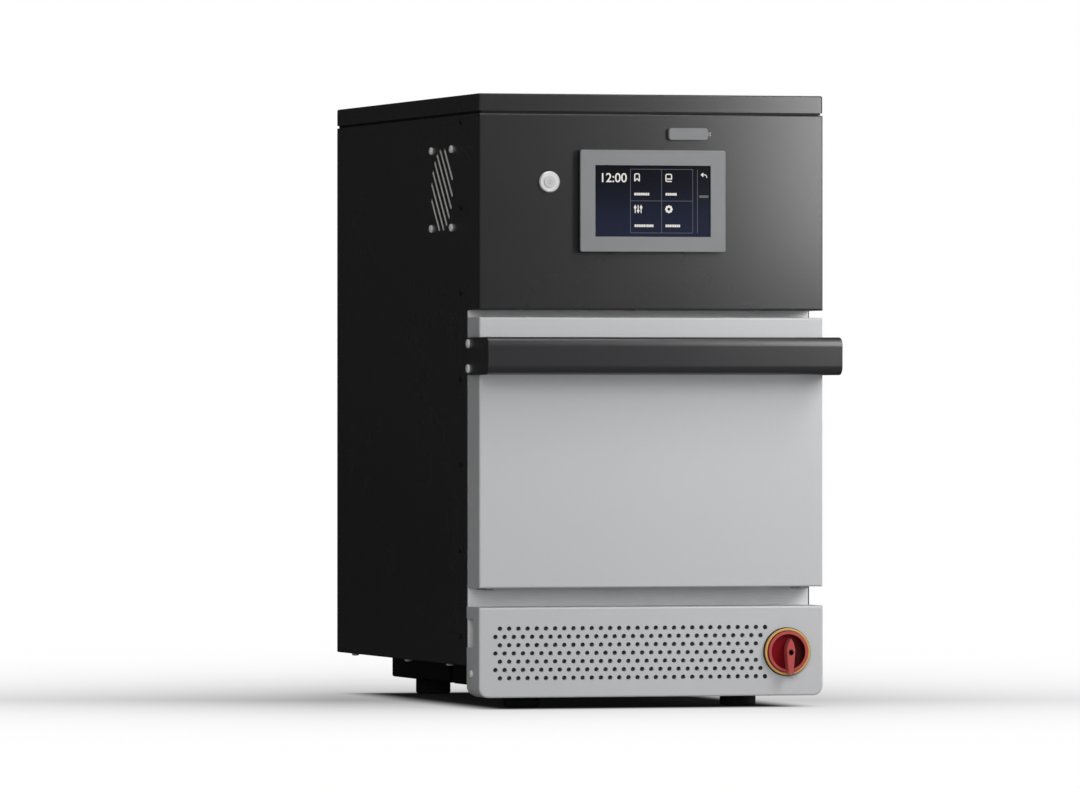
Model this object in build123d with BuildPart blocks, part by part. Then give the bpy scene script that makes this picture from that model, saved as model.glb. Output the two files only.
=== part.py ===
"""Compact rapid-cook countertop oven, built as separate pieces.

Millimetres. X runs across the oven, Y from the front to the rear and Z up. The origin lies on
the floor under the middle of the whole oven, handle and cable gland included. "Depth" is always
measured rearwards from the front face of the door and the panels above and below it.
"""

import math
import os

from build123d import *

os.makedirs("parts", exist_ok=True)

# Overall sizes
body_width = 375.0
body_depth = 600.0
handle_reach = 54.0
gland_reach = 22.0

# Heights, from the floor up
floor_gap = 12.5
lower_panel_height = 94.3
swing_gap = 20.2
cavity_lift = 43.0
cavity_height = 190.0
cavity_head = 49.6
head_gap = 7.6
fascia_height = 205.0
lid_gap = 2.8
lid_height = 18.1
casing_lift = 44.8
plinth_lift = 17.7

# Sheet metal
sheet = 1.2
front_sheet = 1.5
bend_radius = 2.0
front_depth = 50.0
seam = 0.5
flange_width = 14.0

# Screws
pan_head_radius = 4.0
pan_head_height = 2.6
pan_shank_radius = 2.0
small_head_radius = 2.7
small_head_height = 1.3
small_shank_radius = 1.5
shank_clearance = 0.2

# Derived places shared by many pieces
half_width = body_width / 2
inner_half = half_width - sheet
front_y = handle_reach - (handle_reach + body_depth + gland_reach) / 2
frame_back = front_depth + sheet
rear_inside = body_depth - sheet
lower_panel_bottom = floor_gap
lower_panel_top = lower_panel_bottom + lower_panel_height
door_bottom = lower_panel_top + swing_gap
cavity_bottom = door_bottom + cavity_lift
cavity_top = cavity_bottom + cavity_height
door_top = cavity_top + cavity_head
fascia_bottom = door_top + head_gap
fascia_top = fascia_bottom + fascia_height
lid_bottom = fascia_top + lid_gap
lid_top = lid_bottom + lid_height
base_bottom = casing_lift + sheet
base_floor = base_bottom + sheet


def at(depth):
    """The y coordinate this far behind the front face."""
    return front_y + depth


def deep(near, far):
    """The y reach between two depths."""
    return (front_y + near, front_y + far)


def across(side, near, far):
    """The x reach between two distances from the middle, on one side (-1 left, 1 right)."""
    return (near, far) if side > 0 else (-far, -near)


def front_plane(depth):
    """An upright plane: sketch x is X, sketch y is Z, and extrusion comes forward."""
    return Plane.XZ.offset(-at(depth))


def side_plane(x):
    """An upright plane: sketch x is Y, sketch y is Z, and extrusion goes towards +X."""
    return Plane.YZ.offset(x)


def rectangle(left, right, low, high, mode=Mode.ADD):
    """A rectangle given by its edges, in the active sketch."""
    with Locations(((left + right) / 2, (low + high) / 2)):
        Rectangle(right - left, high - low, mode=mode)


def block(x, y, z, mode=Mode.ADD):
    """A block given by its low and high coordinates along each axis, in the active part."""
    with Locations((sum(x) / 2, sum(y) / 2, sum(z) / 2)):
        Box(x[1] - x[0], y[1] - y[0], z[1] - z[0], mode=mode)


def seat_facing(x, y, z, direction):
    """A plane for a screw to sit on, its normal along direction."""
    return Plane(origin=(x, y, z), z_dir=direction)


def control_plane(x, z):
    """A plane on the front face for a control: sketch x is across, sketch y is up."""
    return Plane(origin=(x, at(0), z), x_dir=(1, 0, 0), z_dir=(0, -1, 0))


# ---------------------------------------------------------------------------
# Casing
# ---------------------------------------------------------------------------

lid_sheet = 1.5
lid_overhang = 0.5
lid_setback = 2.0
lid_corner = 3.0
lid_edge = 2.0
lid_half = half_width + lid_overhang

with BuildPart() as top_cover:
    with BuildSketch(Plane.XY.offset(lid_bottom)):
        rectangle(-lid_half, lid_half, at(lid_setback), at(body_depth + lid_overhang))
    extrude(amount=lid_height)
    fillet(top_cover.edges().filter_by(Axis.Z), lid_corner)
    fillet(top_cover.faces().sort_by(Axis.Z)[-1].edges(), lid_edge)
    offset(amount=-lid_sheet, openings=top_cover.faces().sort_by(Axis.Z)[0])

top_cover.part.label = "top_cover"
export_step(top_cover.part, "parts/top_cover.step")

# The side screws stand in a column: the top one holds the roof tray, the rest the front frame.
side_screw_pitch = 90.0
side_screw_count = 7
side_screw_depth = 74.5
side_screw_drop = 6.9
side_screw_heights = [
    fascia_top - side_screw_drop - side_screw_pitch * step
    for step in range(side_screw_count)
]
small_hole_radius = small_shank_radius + shank_clearance

roof_skirt = 16.0
roof_top = lid_top - lid_sheet
roof_bottom = fascia_top - roof_skirt
nose_gap = 0.5
nose_front = lid_setback + lid_sheet + nose_gap
nose_bottom = fascia_top + seam
base_flange = 20.0
base_rim = base_bottom + base_flange

# The rear screws hold the rear panel to the base, the side panels and the roof tray.
rear_screw_inset = 9.0
rear_screw_x = inner_half - rear_screw_inset
rear_screw_heights = [
    base_bottom + base_flange / 2,
    (base_rim + roof_bottom) / 2,
    (roof_bottom + fascia_top) / 2,
]

with BuildPart() as roof_tray:
    with BuildSketch(Plane.XY.offset(roof_bottom)):
        rectangle(-inner_half, inner_half, at(frame_back), at(rear_inside))
    extrude(amount=roof_top - roof_bottom)
    block((-inner_half, inner_half), deep(nose_front, frame_back), (nose_bottom, roof_top))
    fillet(roof_tray.edges().filter_by(Axis.Z), lid_corner)
    fillet(roof_tray.faces().sort_by(Axis.Z)[-1].edges(), lid_edge)
    offset(amount=-sheet, openings=roof_tray.faces().filter_by(Axis.Z).sort_by(Axis.Z)[:2])
    with BuildSketch(side_plane(-inner_half)):
        with Locations((at(side_screw_depth), side_screw_heights[0])):
            Circle(small_hole_radius)
    extrude(amount=2 * inner_half, mode=Mode.SUBTRACT)
    with BuildSketch(front_plane(rear_inside)):
        with Locations(*[(side * rear_screw_x, rear_screw_heights[-1]) for side in (-1, 1)]):
            Circle(small_hole_radius)
    extrude(amount=sheet, mode=Mode.SUBTRACT)

roof_tray.part.label = "roof_tray"
export_step(roof_tray.part, "parts/roof_tray.step")

# The left cooling fan blows through slots cut at 45 degrees inside its ring of four screws.
fan_depth = 151.5
fan_lift = 128.8
fan_height = fascia_bottom + fan_lift
fan_screw_square = 82.5
fan_slot_width = 5.0
fan_slot_pitch = 12.4
fan_slot_circle = 90.0
fan_slot_steps = (-3, -2, -1, 0, 1, 2, 3)
pan_hole_radius = pan_shank_radius + shank_clearance
flange_screw_inset = 8.0
flange_screw_rear_gap = 50.0
flange_screw_depths = (148.0, 322.0, body_depth - flange_screw_rear_gap)
flange_screw_x = half_width - flange_screw_inset


def side_panel(side, with_grille):
    """One folded side panel: the web, a flange under the base and a flange behind."""
    web = across(side, inner_half, half_width)
    flange = across(side, half_width - flange_width, half_width)
    with BuildPart() as panel:
        block(web, deep(front_depth, body_depth), (casing_lift, fascia_top))
        block(flange, deep(front_depth, body_depth), (casing_lift, base_bottom))
        block(flange, deep(rear_inside - sheet, rear_inside), (base_rim + seam, roof_bottom - seam))
        outer_edges = panel.edges().filter_by(Axis.Y).group_by(Axis.Z)[0]
        fillet(outer_edges.sort_by(Axis.X)[-1 if side > 0 else 0], sheet)
        with BuildSketch(side_plane(web[0])):
            with Locations(*[(at(side_screw_depth), height) for height in side_screw_heights]):
                Circle(small_hole_radius)
        extrude(amount=sheet, mode=Mode.SUBTRACT)
        with BuildSketch(Plane.XY.offset(casing_lift)):
            with Locations(*[(side * flange_screw_x, at(depth)) for depth in flange_screw_depths]):
                Circle(pan_hole_radius)
        extrude(amount=sheet, mode=Mode.SUBTRACT)
        with BuildSketch(front_plane(rear_inside)):
            with Locations((side * rear_screw_x, rear_screw_heights[1])):
                Circle(small_hole_radius)
        extrude(amount=sheet, mode=Mode.SUBTRACT)
        if with_grille:
            with BuildSketch(side_plane(web[0])):
                for step in fan_slot_steps:
                    shift = step * fan_slot_pitch / math.sqrt(2)
                    chord = 2 * math.sqrt((fan_slot_circle / 2) ** 2 - (step * fan_slot_pitch) ** 2)
                    with Locations((at(fan_depth) - shift, fan_height + shift)):
                        SlotOverall(chord, fan_slot_width, rotation=45)
                with Locations((at(fan_depth), fan_height)):
                    with GridLocations(fan_screw_square, fan_screw_square, 2, 2):
                        Circle(pan_hole_radius)
            extrude(amount=sheet, mode=Mode.SUBTRACT)
    return panel


left_side_panel = side_panel(-1, with_grille=True)
left_side_panel.part.label = "left_side_panel"
export_step(left_side_panel.part, "parts/left_side_panel.step")

right_side_panel = side_panel(1, with_grille=False)
right_side_panel.part.label = "right_side_panel"
export_step(right_side_panel.part, "parts/right_side_panel.step")

with BuildPart() as base_chassis:
    with BuildSketch(Plane.XY.offset(base_bottom)):
        rectangle(-inner_half, inner_half, at(frame_back), at(rear_inside))
    extrude(amount=base_flange)
    offset(amount=-sheet, openings=base_chassis.faces().sort_by(Axis.Z)[-1])
    with BuildSketch(Plane.XY.offset(base_bottom)):
        for side in (-1, 1):
            with Locations(*[(side * flange_screw_x, at(depth)) for depth in flange_screw_depths]):
                Circle(pan_hole_radius)
    extrude(amount=sheet, mode=Mode.SUBTRACT)
    with BuildSketch(front_plane(rear_inside)):
        with Locations(*[(side * rear_screw_x, rear_screw_heights[0]) for side in (-1, 1)]):
            Circle(small_hole_radius)
    extrude(amount=sheet, mode=Mode.SUBTRACT)

base_chassis.part.label = "base_chassis"
export_step(base_chassis.part, "parts/base_chassis.step")

# Two plinth boxes hang under the base and carry the feet.
plinth_sheet = 1.5
plinth_inset = 60.0
plinth_shoulder_inset = 48.0
plinth_half = half_width - plinth_inset
plinth_shoulder_half = half_width - plinth_shoulder_inset
plinth_shoulder_depth = 230.0
plinth_front_start = 56.0
plinth_front_length = 275.0
plinth_rear_length = 241.0
plinth_rear_gap = 9.0
plinth_front_reach = (plinth_front_start, plinth_front_start + plinth_front_length)
plinth_rear_end = body_depth - plinth_rear_gap
plinth_rear_reach = (plinth_rear_end - plinth_rear_length, plinth_rear_end)
plinth_radius = 2.5
foot_radius = 19.0
foot_edge = 3.0
foot_stud_radius = 4.0
foot_stud_height = 14.0
front_foot_inset = 20.7
front_foot_setback = 28.0
rear_foot_inset = 35.0
rear_foot_gap = 46.0
front_foot_place = (plinth_shoulder_half - front_foot_inset, plinth_front_start + front_foot_setback)
rear_foot_place = (plinth_half - rear_foot_inset, plinth_rear_end - rear_foot_gap)
foot_places = [
    (side * x, at(depth))
    for x, depth in (front_foot_place, rear_foot_place)
    for side in (-1, 1)
]

with BuildPart() as plinths:
    with BuildSketch(Plane.XY.offset(plinth_lift)):
        rectangle(-plinth_half, plinth_half, at(plinth_front_reach[0]), at(plinth_front_reach[1]))
        rectangle(
            -plinth_shoulder_half,
            plinth_shoulder_half,
            at(plinth_front_reach[0]),
            at(plinth_shoulder_depth),
        )
        rectangle(-plinth_half, plinth_half, at(plinth_rear_reach[0]), at(plinth_rear_reach[1]))
    extrude(amount=base_bottom - plinth_lift)
    fillet(plinths.edges().filter_by(Axis.Z), plinth_radius)
    fillet(plinths.faces().group_by(Axis.Z)[0].edges(), plinth_radius)
    offset(amount=-plinth_sheet, openings=plinths.faces().group_by(Axis.Z)[-1])
    with BuildSketch(Plane.XY.offset(plinth_lift)):
        with Locations(*foot_places):
            Circle(foot_stud_radius + shank_clearance)
    extrude(amount=plinth_sheet, mode=Mode.SUBTRACT)

plinths.part.label = "plinths"
export_step(plinths.part, "parts/plinths.step")

with BuildPart() as feet:
    with BuildSketch():
        with Locations(*foot_places):
            Circle(foot_radius)
    extrude(amount=plinth_lift)
    fillet(feet.faces().group_by(Axis.Z)[0].edges(), foot_edge)
    with BuildSketch(Plane.XY.offset(plinth_lift)):
        with Locations(*foot_places):
            Circle(foot_stud_radius)
    extrude(amount=foot_stud_height)

feet.part.label = "feet"
export_step(feet.part, "parts/feet.step")

# The front frame holds the cavity's opening, slots for hinges and hooks, and windows for air
# and cables.
cavity_side_gap = 34.5
cavity_half = half_width - cavity_side_gap
cavity_middle = (cavity_bottom + cavity_top) / 2

hinge_depth = 20.0
hinge_lift = 6.0
hinge_height = door_bottom + hinge_lift
hinge_inset = 15.9
hinge_thickness = 8.0
hinge_knuckle_radius = 8.5
hinge_pin_radius = 3.0
hinge_running_gap = 0.05
hinge_middle = half_width - hinge_inset
hinge_near = hinge_middle - hinge_thickness / 2
hinge_far = hinge_middle + hinge_thickness / 2
hinge_slot_gap = 0.5

hook_thickness = 4.0
hook_inset = 15.5
hook_middle = half_width - hook_inset
hook_drop = 19.6
hook_low = door_top - hook_drop
hook_height = 8.0
hook_reach = 82.0
hook_side_gap = 1.0
hook_lift_room = 7.0

frame_return = 36.0
intake_window = (56.0, 43.6)
intake_window_pitch = 66.0
intake_window_count = 5
intake_window_lift = 31.0
intake_window_height = base_bottom + intake_window_lift
cable_window = (60.0, 40.0)
cable_window_pitch = 220.0
cable_window_lift = 52.8
cable_window_height = fascia_bottom + cable_window_lift

with BuildPart() as front_frame:
    with BuildSketch(front_plane(front_depth)):
        rectangle(-inner_half, inner_half, base_bottom, fascia_top - seam)
        rectangle(-cavity_half, cavity_half, cavity_bottom, cavity_top, mode=Mode.SUBTRACT)
        with Locations((0, intake_window_height)):
            with GridLocations(intake_window_pitch, 0, intake_window_count, 1):
                Rectangle(*intake_window, mode=Mode.SUBTRACT)
        with Locations((0, cable_window_height)):
            with GridLocations(cable_window_pitch, 0, 2, 1):
                Rectangle(*cable_window, mode=Mode.SUBTRACT)
        for side in (-1, 1):
            slot = across(side, hinge_near - hinge_slot_gap, hinge_far + hinge_slot_gap)
            rectangle(
                *slot,
                hinge_height - hinge_knuckle_radius - hinge_slot_gap,
                hinge_height + hinge_knuckle_radius + hinge_slot_gap,
                mode=Mode.SUBTRACT,
            )
            half_slot = hook_thickness / 2 + hook_side_gap
            rectangle(
                *across(side, hook_middle - half_slot, hook_middle + half_slot),
                hook_low - hook_side_gap,
                hook_low + hook_height + hook_lift_room,
                mode=Mode.SUBTRACT,
            )
    extrude(amount=-sheet)
    for side in (-1, 1):
        block(
            across(side, inner_half - sheet, inner_half),
            deep(frame_back, frame_back + frame_return),
            (base_rim + seam, roof_bottom - seam),
        )
    with BuildSketch(side_plane(-inner_half)):
        with Locations(*[(at(side_screw_depth), height) for height in side_screw_heights[1:]]):
            Circle(small_hole_radius)
    extrude(amount=2 * inner_half, mode=Mode.SUBTRACT)

front_frame.part.label = "front_frame"
export_step(front_frame.part, "parts/front_frame.step")

# The rear panel closes the back between the side panels; air leaves through its slots and its
# fan grille.
rear_gap = 0.3
rear_fan_inset = 77.5
rear_fan_lift = 66.0
rear_fan_x = -(half_width - rear_fan_inset)
rear_fan_height = base_bottom + rear_fan_lift
fan_square = 92.0
fan_thickness = 25.0
fan_bore_radius = 44.0
rear_grille_slot = 5.0
rear_grille_bridge = 3.5
rear_grille_rings = 5
rear_grille_margin = 1.0
vent_slot_length = 44.0
vent_slot_width = 4.0
vent_slot_pitch = 9.0
vent_slot_rows = 12
vent_columns = 3
vent_column_pitch = 66.0
vent_lift = 82.8
vent_height = fascia_bottom + vent_lift
gland_inset = 67.5
gland_lift = 40.0
gland_x = half_width - gland_inset
gland_height = base_bottom + gland_lift
gland_thread_radius = 10.0
duct_inset = 63.0
duct_x = cavity_half - duct_inset
duct_width = 24.0
duct_wall = 1.2
top_wool = 24.0
insulation_top = cavity_top + top_wool
duct_height = 19.0
duct_bottom = insulation_top
duct_top = duct_bottom + duct_height

with BuildPart() as rear_panel:
    with BuildSketch(front_plane(rear_inside)):
        rectangle(-inner_half + rear_gap, inner_half - rear_gap, base_bottom + rear_gap, fascia_top)
        with Locations((0, vent_height)):
            with GridLocations(vent_column_pitch, vent_slot_pitch, vent_columns, vent_slot_rows):
                SlotOverall(vent_slot_length, vent_slot_width, mode=Mode.SUBTRACT)
        with Locations((rear_fan_x, rear_fan_height)):
            for ring in range(rear_grille_rings):
                ring_step = ring * (rear_grille_slot + rear_grille_bridge)
                radius = fan_bore_radius - rear_grille_margin - ring_step
                Circle(radius, mode=Mode.SUBTRACT)
                Circle(radius - rear_grille_slot)
            Rectangle(2 * fan_bore_radius, rear_grille_bridge, rotation=45)
            Rectangle(2 * fan_bore_radius, rear_grille_bridge, rotation=-45)
            with GridLocations(fan_screw_square, fan_screw_square, 2, 2):
                Circle(pan_hole_radius, mode=Mode.SUBTRACT)
        with Locations((gland_x, gland_height)):
            Circle(gland_thread_radius + shank_clearance, mode=Mode.SUBTRACT)
        with Locations((duct_x, (duct_bottom + duct_top) / 2)):
            Rectangle(duct_width - 2 * duct_wall, duct_height - 2 * duct_wall, mode=Mode.SUBTRACT)
        for side in (-1, 1):
            with Locations(*[(side * rear_screw_x, z) for z in rear_screw_heights]):
                Circle(small_hole_radius, mode=Mode.SUBTRACT)
    extrude(amount=-sheet)

rear_panel.part.label = "rear_panel"
export_step(rear_panel.part, "parts/rear_panel.step")

# ---------------------------------------------------------------------------
# Front panels
# ---------------------------------------------------------------------------

screen_x = -1.2
screen_lift = 114.1
screen_middle_height = fascia_bottom + screen_lift
bezel_width = 158.4
bezel_height = 106.6
bezel_reach = 9.0
bezel_radius = 2.5
screen_width = 125.8
screen_height = 74.7
glass_width = 140.6
glass_height = 89.6
glass_gap = 0.3

button_x = -111.8
button_lift = 133.8
button_height = fascia_bottom + button_lift
button_ring_radius = 11.0
button_ring_reach = 3.0
button_thread_radius = 9.2
button_cap_radius = 6.2
button_running_gap = 0.1

port_x = 38.6
port_drop = 20.4
port_height = fascia_top - port_drop
port_width = 13.2
port_shell_height = 6.2
port_gap = 0.2

with BuildPart() as control_fascia:
    with BuildSketch(front_plane(0)):
        rectangle(-half_width, half_width, fascia_bottom, fascia_top)
    extrude(amount=-(front_depth - seam))
    fillet(control_fascia.faces().sort_by(Axis.Y)[0].edges(), bend_radius)
    offset(amount=-front_sheet, openings=control_fascia.faces().sort_by(Axis.Y)[-1])
    with BuildSketch(front_plane(0)):
        with Locations((screen_x, screen_middle_height)):
            Rectangle(glass_width + 2 * glass_gap, glass_height + 2 * glass_gap)
        with Locations((button_x, button_height)):
            Circle(button_thread_radius + shank_clearance)
        with Locations((port_x, port_height)):
            Rectangle(port_width + 2 * port_gap, port_shell_height + 2 * port_gap)
    extrude(amount=-front_sheet, mode=Mode.SUBTRACT)

control_fascia.part.label = "control_fascia"
export_step(control_fascia.part, "parts/control_fascia.step")

panel_corner_radius = 10.5
hole_pitch = 9.95
hole_row_pitch = hole_pitch * math.sin(math.radians(60))
hole_radius = 2.5
hole_rows = 7
hole_middle_lift = 46.2
hole_middle_height = lower_panel_bottom + hole_middle_lift
isolator_inset = 40.5
isolator_x = half_width - isolator_inset
isolator_height = hole_middle_height
hole_field_inset = 17.7
hole_field_gap = 16.5
hole_field_left = -half_width + hole_field_inset
hole_field_right = isolator_x - hole_field_gap
hole_columns = math.ceil((hole_field_right - hole_field_left) / hole_pitch)
isolator_clear_radius = 31.0
isolator_shaft_radius = 4.0
isolator_neck_radius = 11.0
wing_notch_depth = 24.0
wing_notch_lift = 52.0
wing_notch_height = 30.0
wing_notch_low = lower_panel_bottom + wing_notch_lift
wing_notch_high = wing_notch_low + wing_notch_height
wing_corner_radius = 12.0
wing_screw_depth = 30.0
wing_screw_lift = 24.5
wing_screw_height = lower_panel_bottom + wing_screw_lift


def perforation():
    """Centres of the staggered air holes, leaving the isolator's surroundings whole."""
    centres = []
    for row in range(hole_rows):
        step = row - (hole_rows - 1) // 2
        z = hole_middle_height + step * hole_row_pitch
        for column in range(hole_columns):
            x = hole_field_left + column * hole_pitch + (step % 2) * hole_pitch / 2
            clear = math.hypot(x - isolator_x, z - isolator_height) > isolator_clear_radius
            if clear and x < hole_field_right:
                centres.append((x, z))
    return centres


with BuildPart() as lower_front_panel:
    with BuildSketch(front_plane(0)):
        rectangle(-half_width, half_width, lower_panel_bottom, lower_panel_top)
    extrude(amount=-(front_depth - seam))
    fillet(lower_front_panel.edges().filter_by(Axis.Y).group_by(Axis.Z)[0], panel_corner_radius)
    fillet(lower_front_panel.faces().sort_by(Axis.Y)[0].edges(), bend_radius)
    offset(amount=-front_sheet, openings=lower_front_panel.faces().sort_by(Axis.Y)[-1])
    with BuildSketch(front_plane(0)):
        with Locations(*perforation()):
            Circle(hole_radius)
        with Locations((isolator_x, isolator_height)):
            Circle(isolator_neck_radius + shank_clearance)
    extrude(amount=-front_sheet, mode=Mode.SUBTRACT)
    with BuildSketch(side_plane(-half_width)):
        rectangle(at(wing_notch_depth), at(front_depth), wing_notch_low, wing_notch_high)
        with Locations((at(wing_screw_depth), wing_screw_height)):
            Circle(pan_hole_radius)
        with BuildLine():
            corner = (at(front_depth - seam), lower_panel_bottom)
            Line(corner, (corner[0] - wing_corner_radius, corner[1]))
            RadiusArc(
                (corner[0] - wing_corner_radius, corner[1]),
                (corner[0], corner[1] + wing_corner_radius),
                -wing_corner_radius,
            )
            Line((corner[0], corner[1] + wing_corner_radius), corner)
        make_face()
    extrude(amount=body_width, mode=Mode.SUBTRACT)

lower_front_panel.part.label = "lower_front_panel"
export_step(lower_front_panel.part, "parts/lower_front_panel.step")

bracket_near_depth = 16.0
bracket_margin = 4.0
bracket_low = lower_panel_bottom + panel_corner_radius + bracket_margin
bracket_high = wing_notch_low - bracket_margin / 2
bracket_flange = 16.0
panel_inner_half = half_width - front_sheet

with BuildPart() as lower_panel_brackets:
    for side in (-1, 1):
        block(
            across(side, panel_inner_half - front_sheet, panel_inner_half),
            deep(bracket_near_depth, front_depth),
            (bracket_low, bracket_high),
        )
        block(
            across(side, panel_inner_half - bracket_flange, panel_inner_half),
            deep(front_depth - front_sheet, front_depth),
            (base_bottom, bracket_high),
        )
    with BuildSketch(side_plane(-half_width)):
        with Locations((at(wing_screw_depth), wing_screw_height)):
            Circle(pan_hole_radius)
    extrude(amount=body_width, mode=Mode.SUBTRACT)

lower_panel_brackets.part.label = "lower_panel_brackets"
export_step(lower_panel_brackets.part, "parts/lower_panel_brackets.step")

# The intake filter lies against the back of the perforated face.
filter_thickness = 9.0
filter_margin = 9.0
filter_rim = 4.0
filter_recess = 2.0
isolator_body_half = 23.0
filter_body_gap = 4.0
filter_right = isolator_x - isolator_body_half - filter_body_gap

with BuildPart() as air_filter:
    with BuildSketch(front_plane(front_sheet)):
        rectangle(
            -panel_inner_half + filter_margin,
            filter_right,
            lower_panel_bottom + front_sheet + filter_margin,
            lower_panel_top - front_sheet - filter_margin / 2,
        )
    extrude(amount=-filter_thickness)
    with BuildSketch(front_plane(front_sheet + filter_thickness)):
        rectangle(
            -panel_inner_half + filter_margin + filter_rim,
            filter_right - filter_rim,
            lower_panel_bottom + front_sheet + filter_margin + filter_rim,
            lower_panel_top - front_sheet - filter_margin / 2 - filter_rim,
        )
    extrude(amount=filter_recess, mode=Mode.SUBTRACT)

air_filter.part.label = "air_filter"
export_step(air_filter.part, "parts/air_filter.step")

# ---------------------------------------------------------------------------
# Screws of the casing: one blank of each size, copied to its seats
# ---------------------------------------------------------------------------

pan_shank_length = 6.0
small_shank_length = 5.0
drive_radius = 1.4
dome_share = 0.7


def screw_blank(head_radius, head_height, shank_radius, shank_length):
    """A domed-head screw standing on the seat plane, with a six-sided drive."""
    with BuildPart() as blank:
        with BuildSketch():
            Circle(head_radius)
        extrude(amount=head_height)
        fillet(blank.faces().sort_by(Axis.Z)[-1].edges(), dome_share * head_height)
        with BuildSketch(Plane.XY.offset(head_height)):
            RegularPolygon(drive_radius, 6)
        extrude(amount=-head_height / 2, mode=Mode.SUBTRACT)
        with BuildSketch():
            Circle(shank_radius)
        extrude(amount=-shank_length)
    return blank.part


pan_screw = screw_blank(pan_head_radius, pan_head_height, pan_shank_radius, pan_shank_length)
small_screw = screw_blank(
    small_head_radius, small_head_height, small_shank_radius, small_shank_length
)

half_square = fan_screw_square / 2
pan_seats = []
for side in (-1, 1):
    wing_y = at(wing_screw_depth)
    pan_seats.append(seat_facing(side * half_width, wing_y, wing_screw_height, (side, 0, 0)))
    for depth in flange_screw_depths:
        pan_seats.append(seat_facing(side * flange_screw_x, at(depth), casing_lift, (0, 0, -1)))
for u in (-half_square, half_square):
    for v in (-half_square, half_square):
        pan_seats.append(
            seat_facing(-half_width, at(fan_depth) + u, fan_height + v, (-1, 0, 0))
        )
        pan_seats.append(
            seat_facing(rear_fan_x + u, at(body_depth), rear_fan_height + v, (0, 1, 0))
        )

with BuildPart() as pan_head_screws:
    with Locations(*pan_seats):
        add(pan_screw)

pan_head_screws.part.label = "pan_head_screws"
export_step(pan_head_screws.part, "parts/pan_head_screws.step")

small_seats = []
for side in (-1, 1):
    for height in side_screw_heights:
        small_seats.append(
            seat_facing(side * half_width, at(side_screw_depth), height, (side, 0, 0))
        )
    for height in rear_screw_heights:
        small_seats.append(
            seat_facing(side * rear_screw_x, at(body_depth), height, (0, 1, 0))
        )

with BuildPart() as small_casing_screws:
    with Locations(*small_seats):
        add(small_screw)

small_casing_screws.part.label = "small_casing_screws"
export_step(small_casing_screws.part, "parts/small_casing_screws.step")

# ---------------------------------------------------------------------------
# Controls
# ---------------------------------------------------------------------------

bezel_lip = 2.5
glass_thickness = 3.0
module_margin = 4.0
module_depth = 8.0
glass_front = bezel_reach - bezel_lip

with BuildPart() as display_bezel:
    with BuildSketch(front_plane(0)):
        with Locations((screen_x, screen_middle_height)):
            Rectangle(bezel_width, bezel_height)
    extrude(amount=bezel_reach)
    fillet(display_bezel.edges().filter_by(Axis.Y), bezel_radius)
    chamfer(display_bezel.faces().sort_by(Axis.Y)[0].edges(), bezel_radius / 3)
    with BuildSketch(front_plane(0)):
        with Locations((screen_x, screen_middle_height)):
            Rectangle(glass_width + 2 * glass_gap, glass_height + 2 * glass_gap)
    extrude(amount=glass_front, mode=Mode.SUBTRACT)
    with BuildSketch(front_plane(0)):
        with Locations((screen_x, screen_middle_height)):
            Rectangle(screen_width, screen_height)
    extrude(amount=bezel_reach, mode=Mode.SUBTRACT)

display_bezel.part.label = "display_bezel"
export_step(display_bezel.part, "parts/display_bezel.step")

with BuildPart() as touch_screen:
    with BuildSketch(front_plane(-glass_front)):
        with Locations((screen_x, screen_middle_height)):
            Rectangle(glass_width, glass_height)
    extrude(amount=-glass_thickness)
    with BuildSketch(front_plane(-glass_front + glass_thickness)):
        with Locations((screen_x, screen_middle_height)):
            Rectangle(glass_width - module_margin, glass_height - module_margin)
    extrude(amount=-module_depth)

touch_screen.part.label = "touch_screen"
export_step(touch_screen.part, "parts/touch_screen.step")

board_thickness = 1.6
board_width = 160.0
board_height = 110.0
board_post_radius = 2.5
board_post_reach = 18.0
board_post_inset = 4.0
# Across, up, width, height and thickness of each chip and plug.
chip_places = (
    (-45.0, 20.0, 30.0, 30.0, 3.0),
    (10.0, 25.0, 22.0, 22.0, 2.5),
    (30.0, -30.0, 50.0, 14.0, 9.0),
)

with BuildPart() as control_board:
    with BuildSketch(front_plane(front_sheet + board_post_reach)):
        with Locations((screen_x, screen_middle_height)):
            Rectangle(board_width, board_height)
    extrude(amount=-board_thickness)
    with BuildSketch(front_plane(front_sheet)):
        with Locations((screen_x, screen_middle_height)):
            with GridLocations(
                board_width - 2 * board_post_inset,
                board_height - 2 * board_post_inset,
                2,
                2,
            ):
                Circle(board_post_radius)
    extrude(amount=-board_post_reach)
    for x, z, width, height, thickness in chip_places:
        with BuildSketch(front_plane(front_sheet + board_post_reach + board_thickness)):
            with Locations((screen_x + x, screen_middle_height + z)):
                Rectangle(width, height)
        extrude(amount=-thickness)

control_board.part.label = "control_board"
export_step(control_board.part, "parts/control_board.step")

button_body_depth = 28.0
button_bore_depth = 6.0
button_cap_reach = 0.8
button_travel = 1.5
button_ring_chamfer = 1.0
button_nut_radius = 13.0
button_nut_thickness = 4.5
button_plane = control_plane(button_x, button_height)

with BuildPart() as power_button_bezel:
    with BuildSketch(button_plane):
        Circle(button_ring_radius)
    extrude(amount=button_ring_reach)
    chamfer(power_button_bezel.faces().sort_by(Axis.Y)[0].edges(), button_ring_chamfer)
    with BuildSketch(button_plane):
        Circle(button_thread_radius)
    extrude(amount=-button_body_depth)
    with BuildSketch(button_plane.offset(-front_sheet)):
        RegularPolygon(button_nut_radius, 6)
    extrude(amount=-button_nut_thickness)
    with BuildSketch(button_plane.offset(button_ring_reach)):
        Circle(button_cap_radius + button_running_gap)
    extrude(amount=-(button_ring_reach + button_bore_depth), mode=Mode.SUBTRACT)

power_button_bezel.part.label = "power_button_bezel"
export_step(power_button_bezel.part, "parts/power_button_bezel.step")

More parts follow.
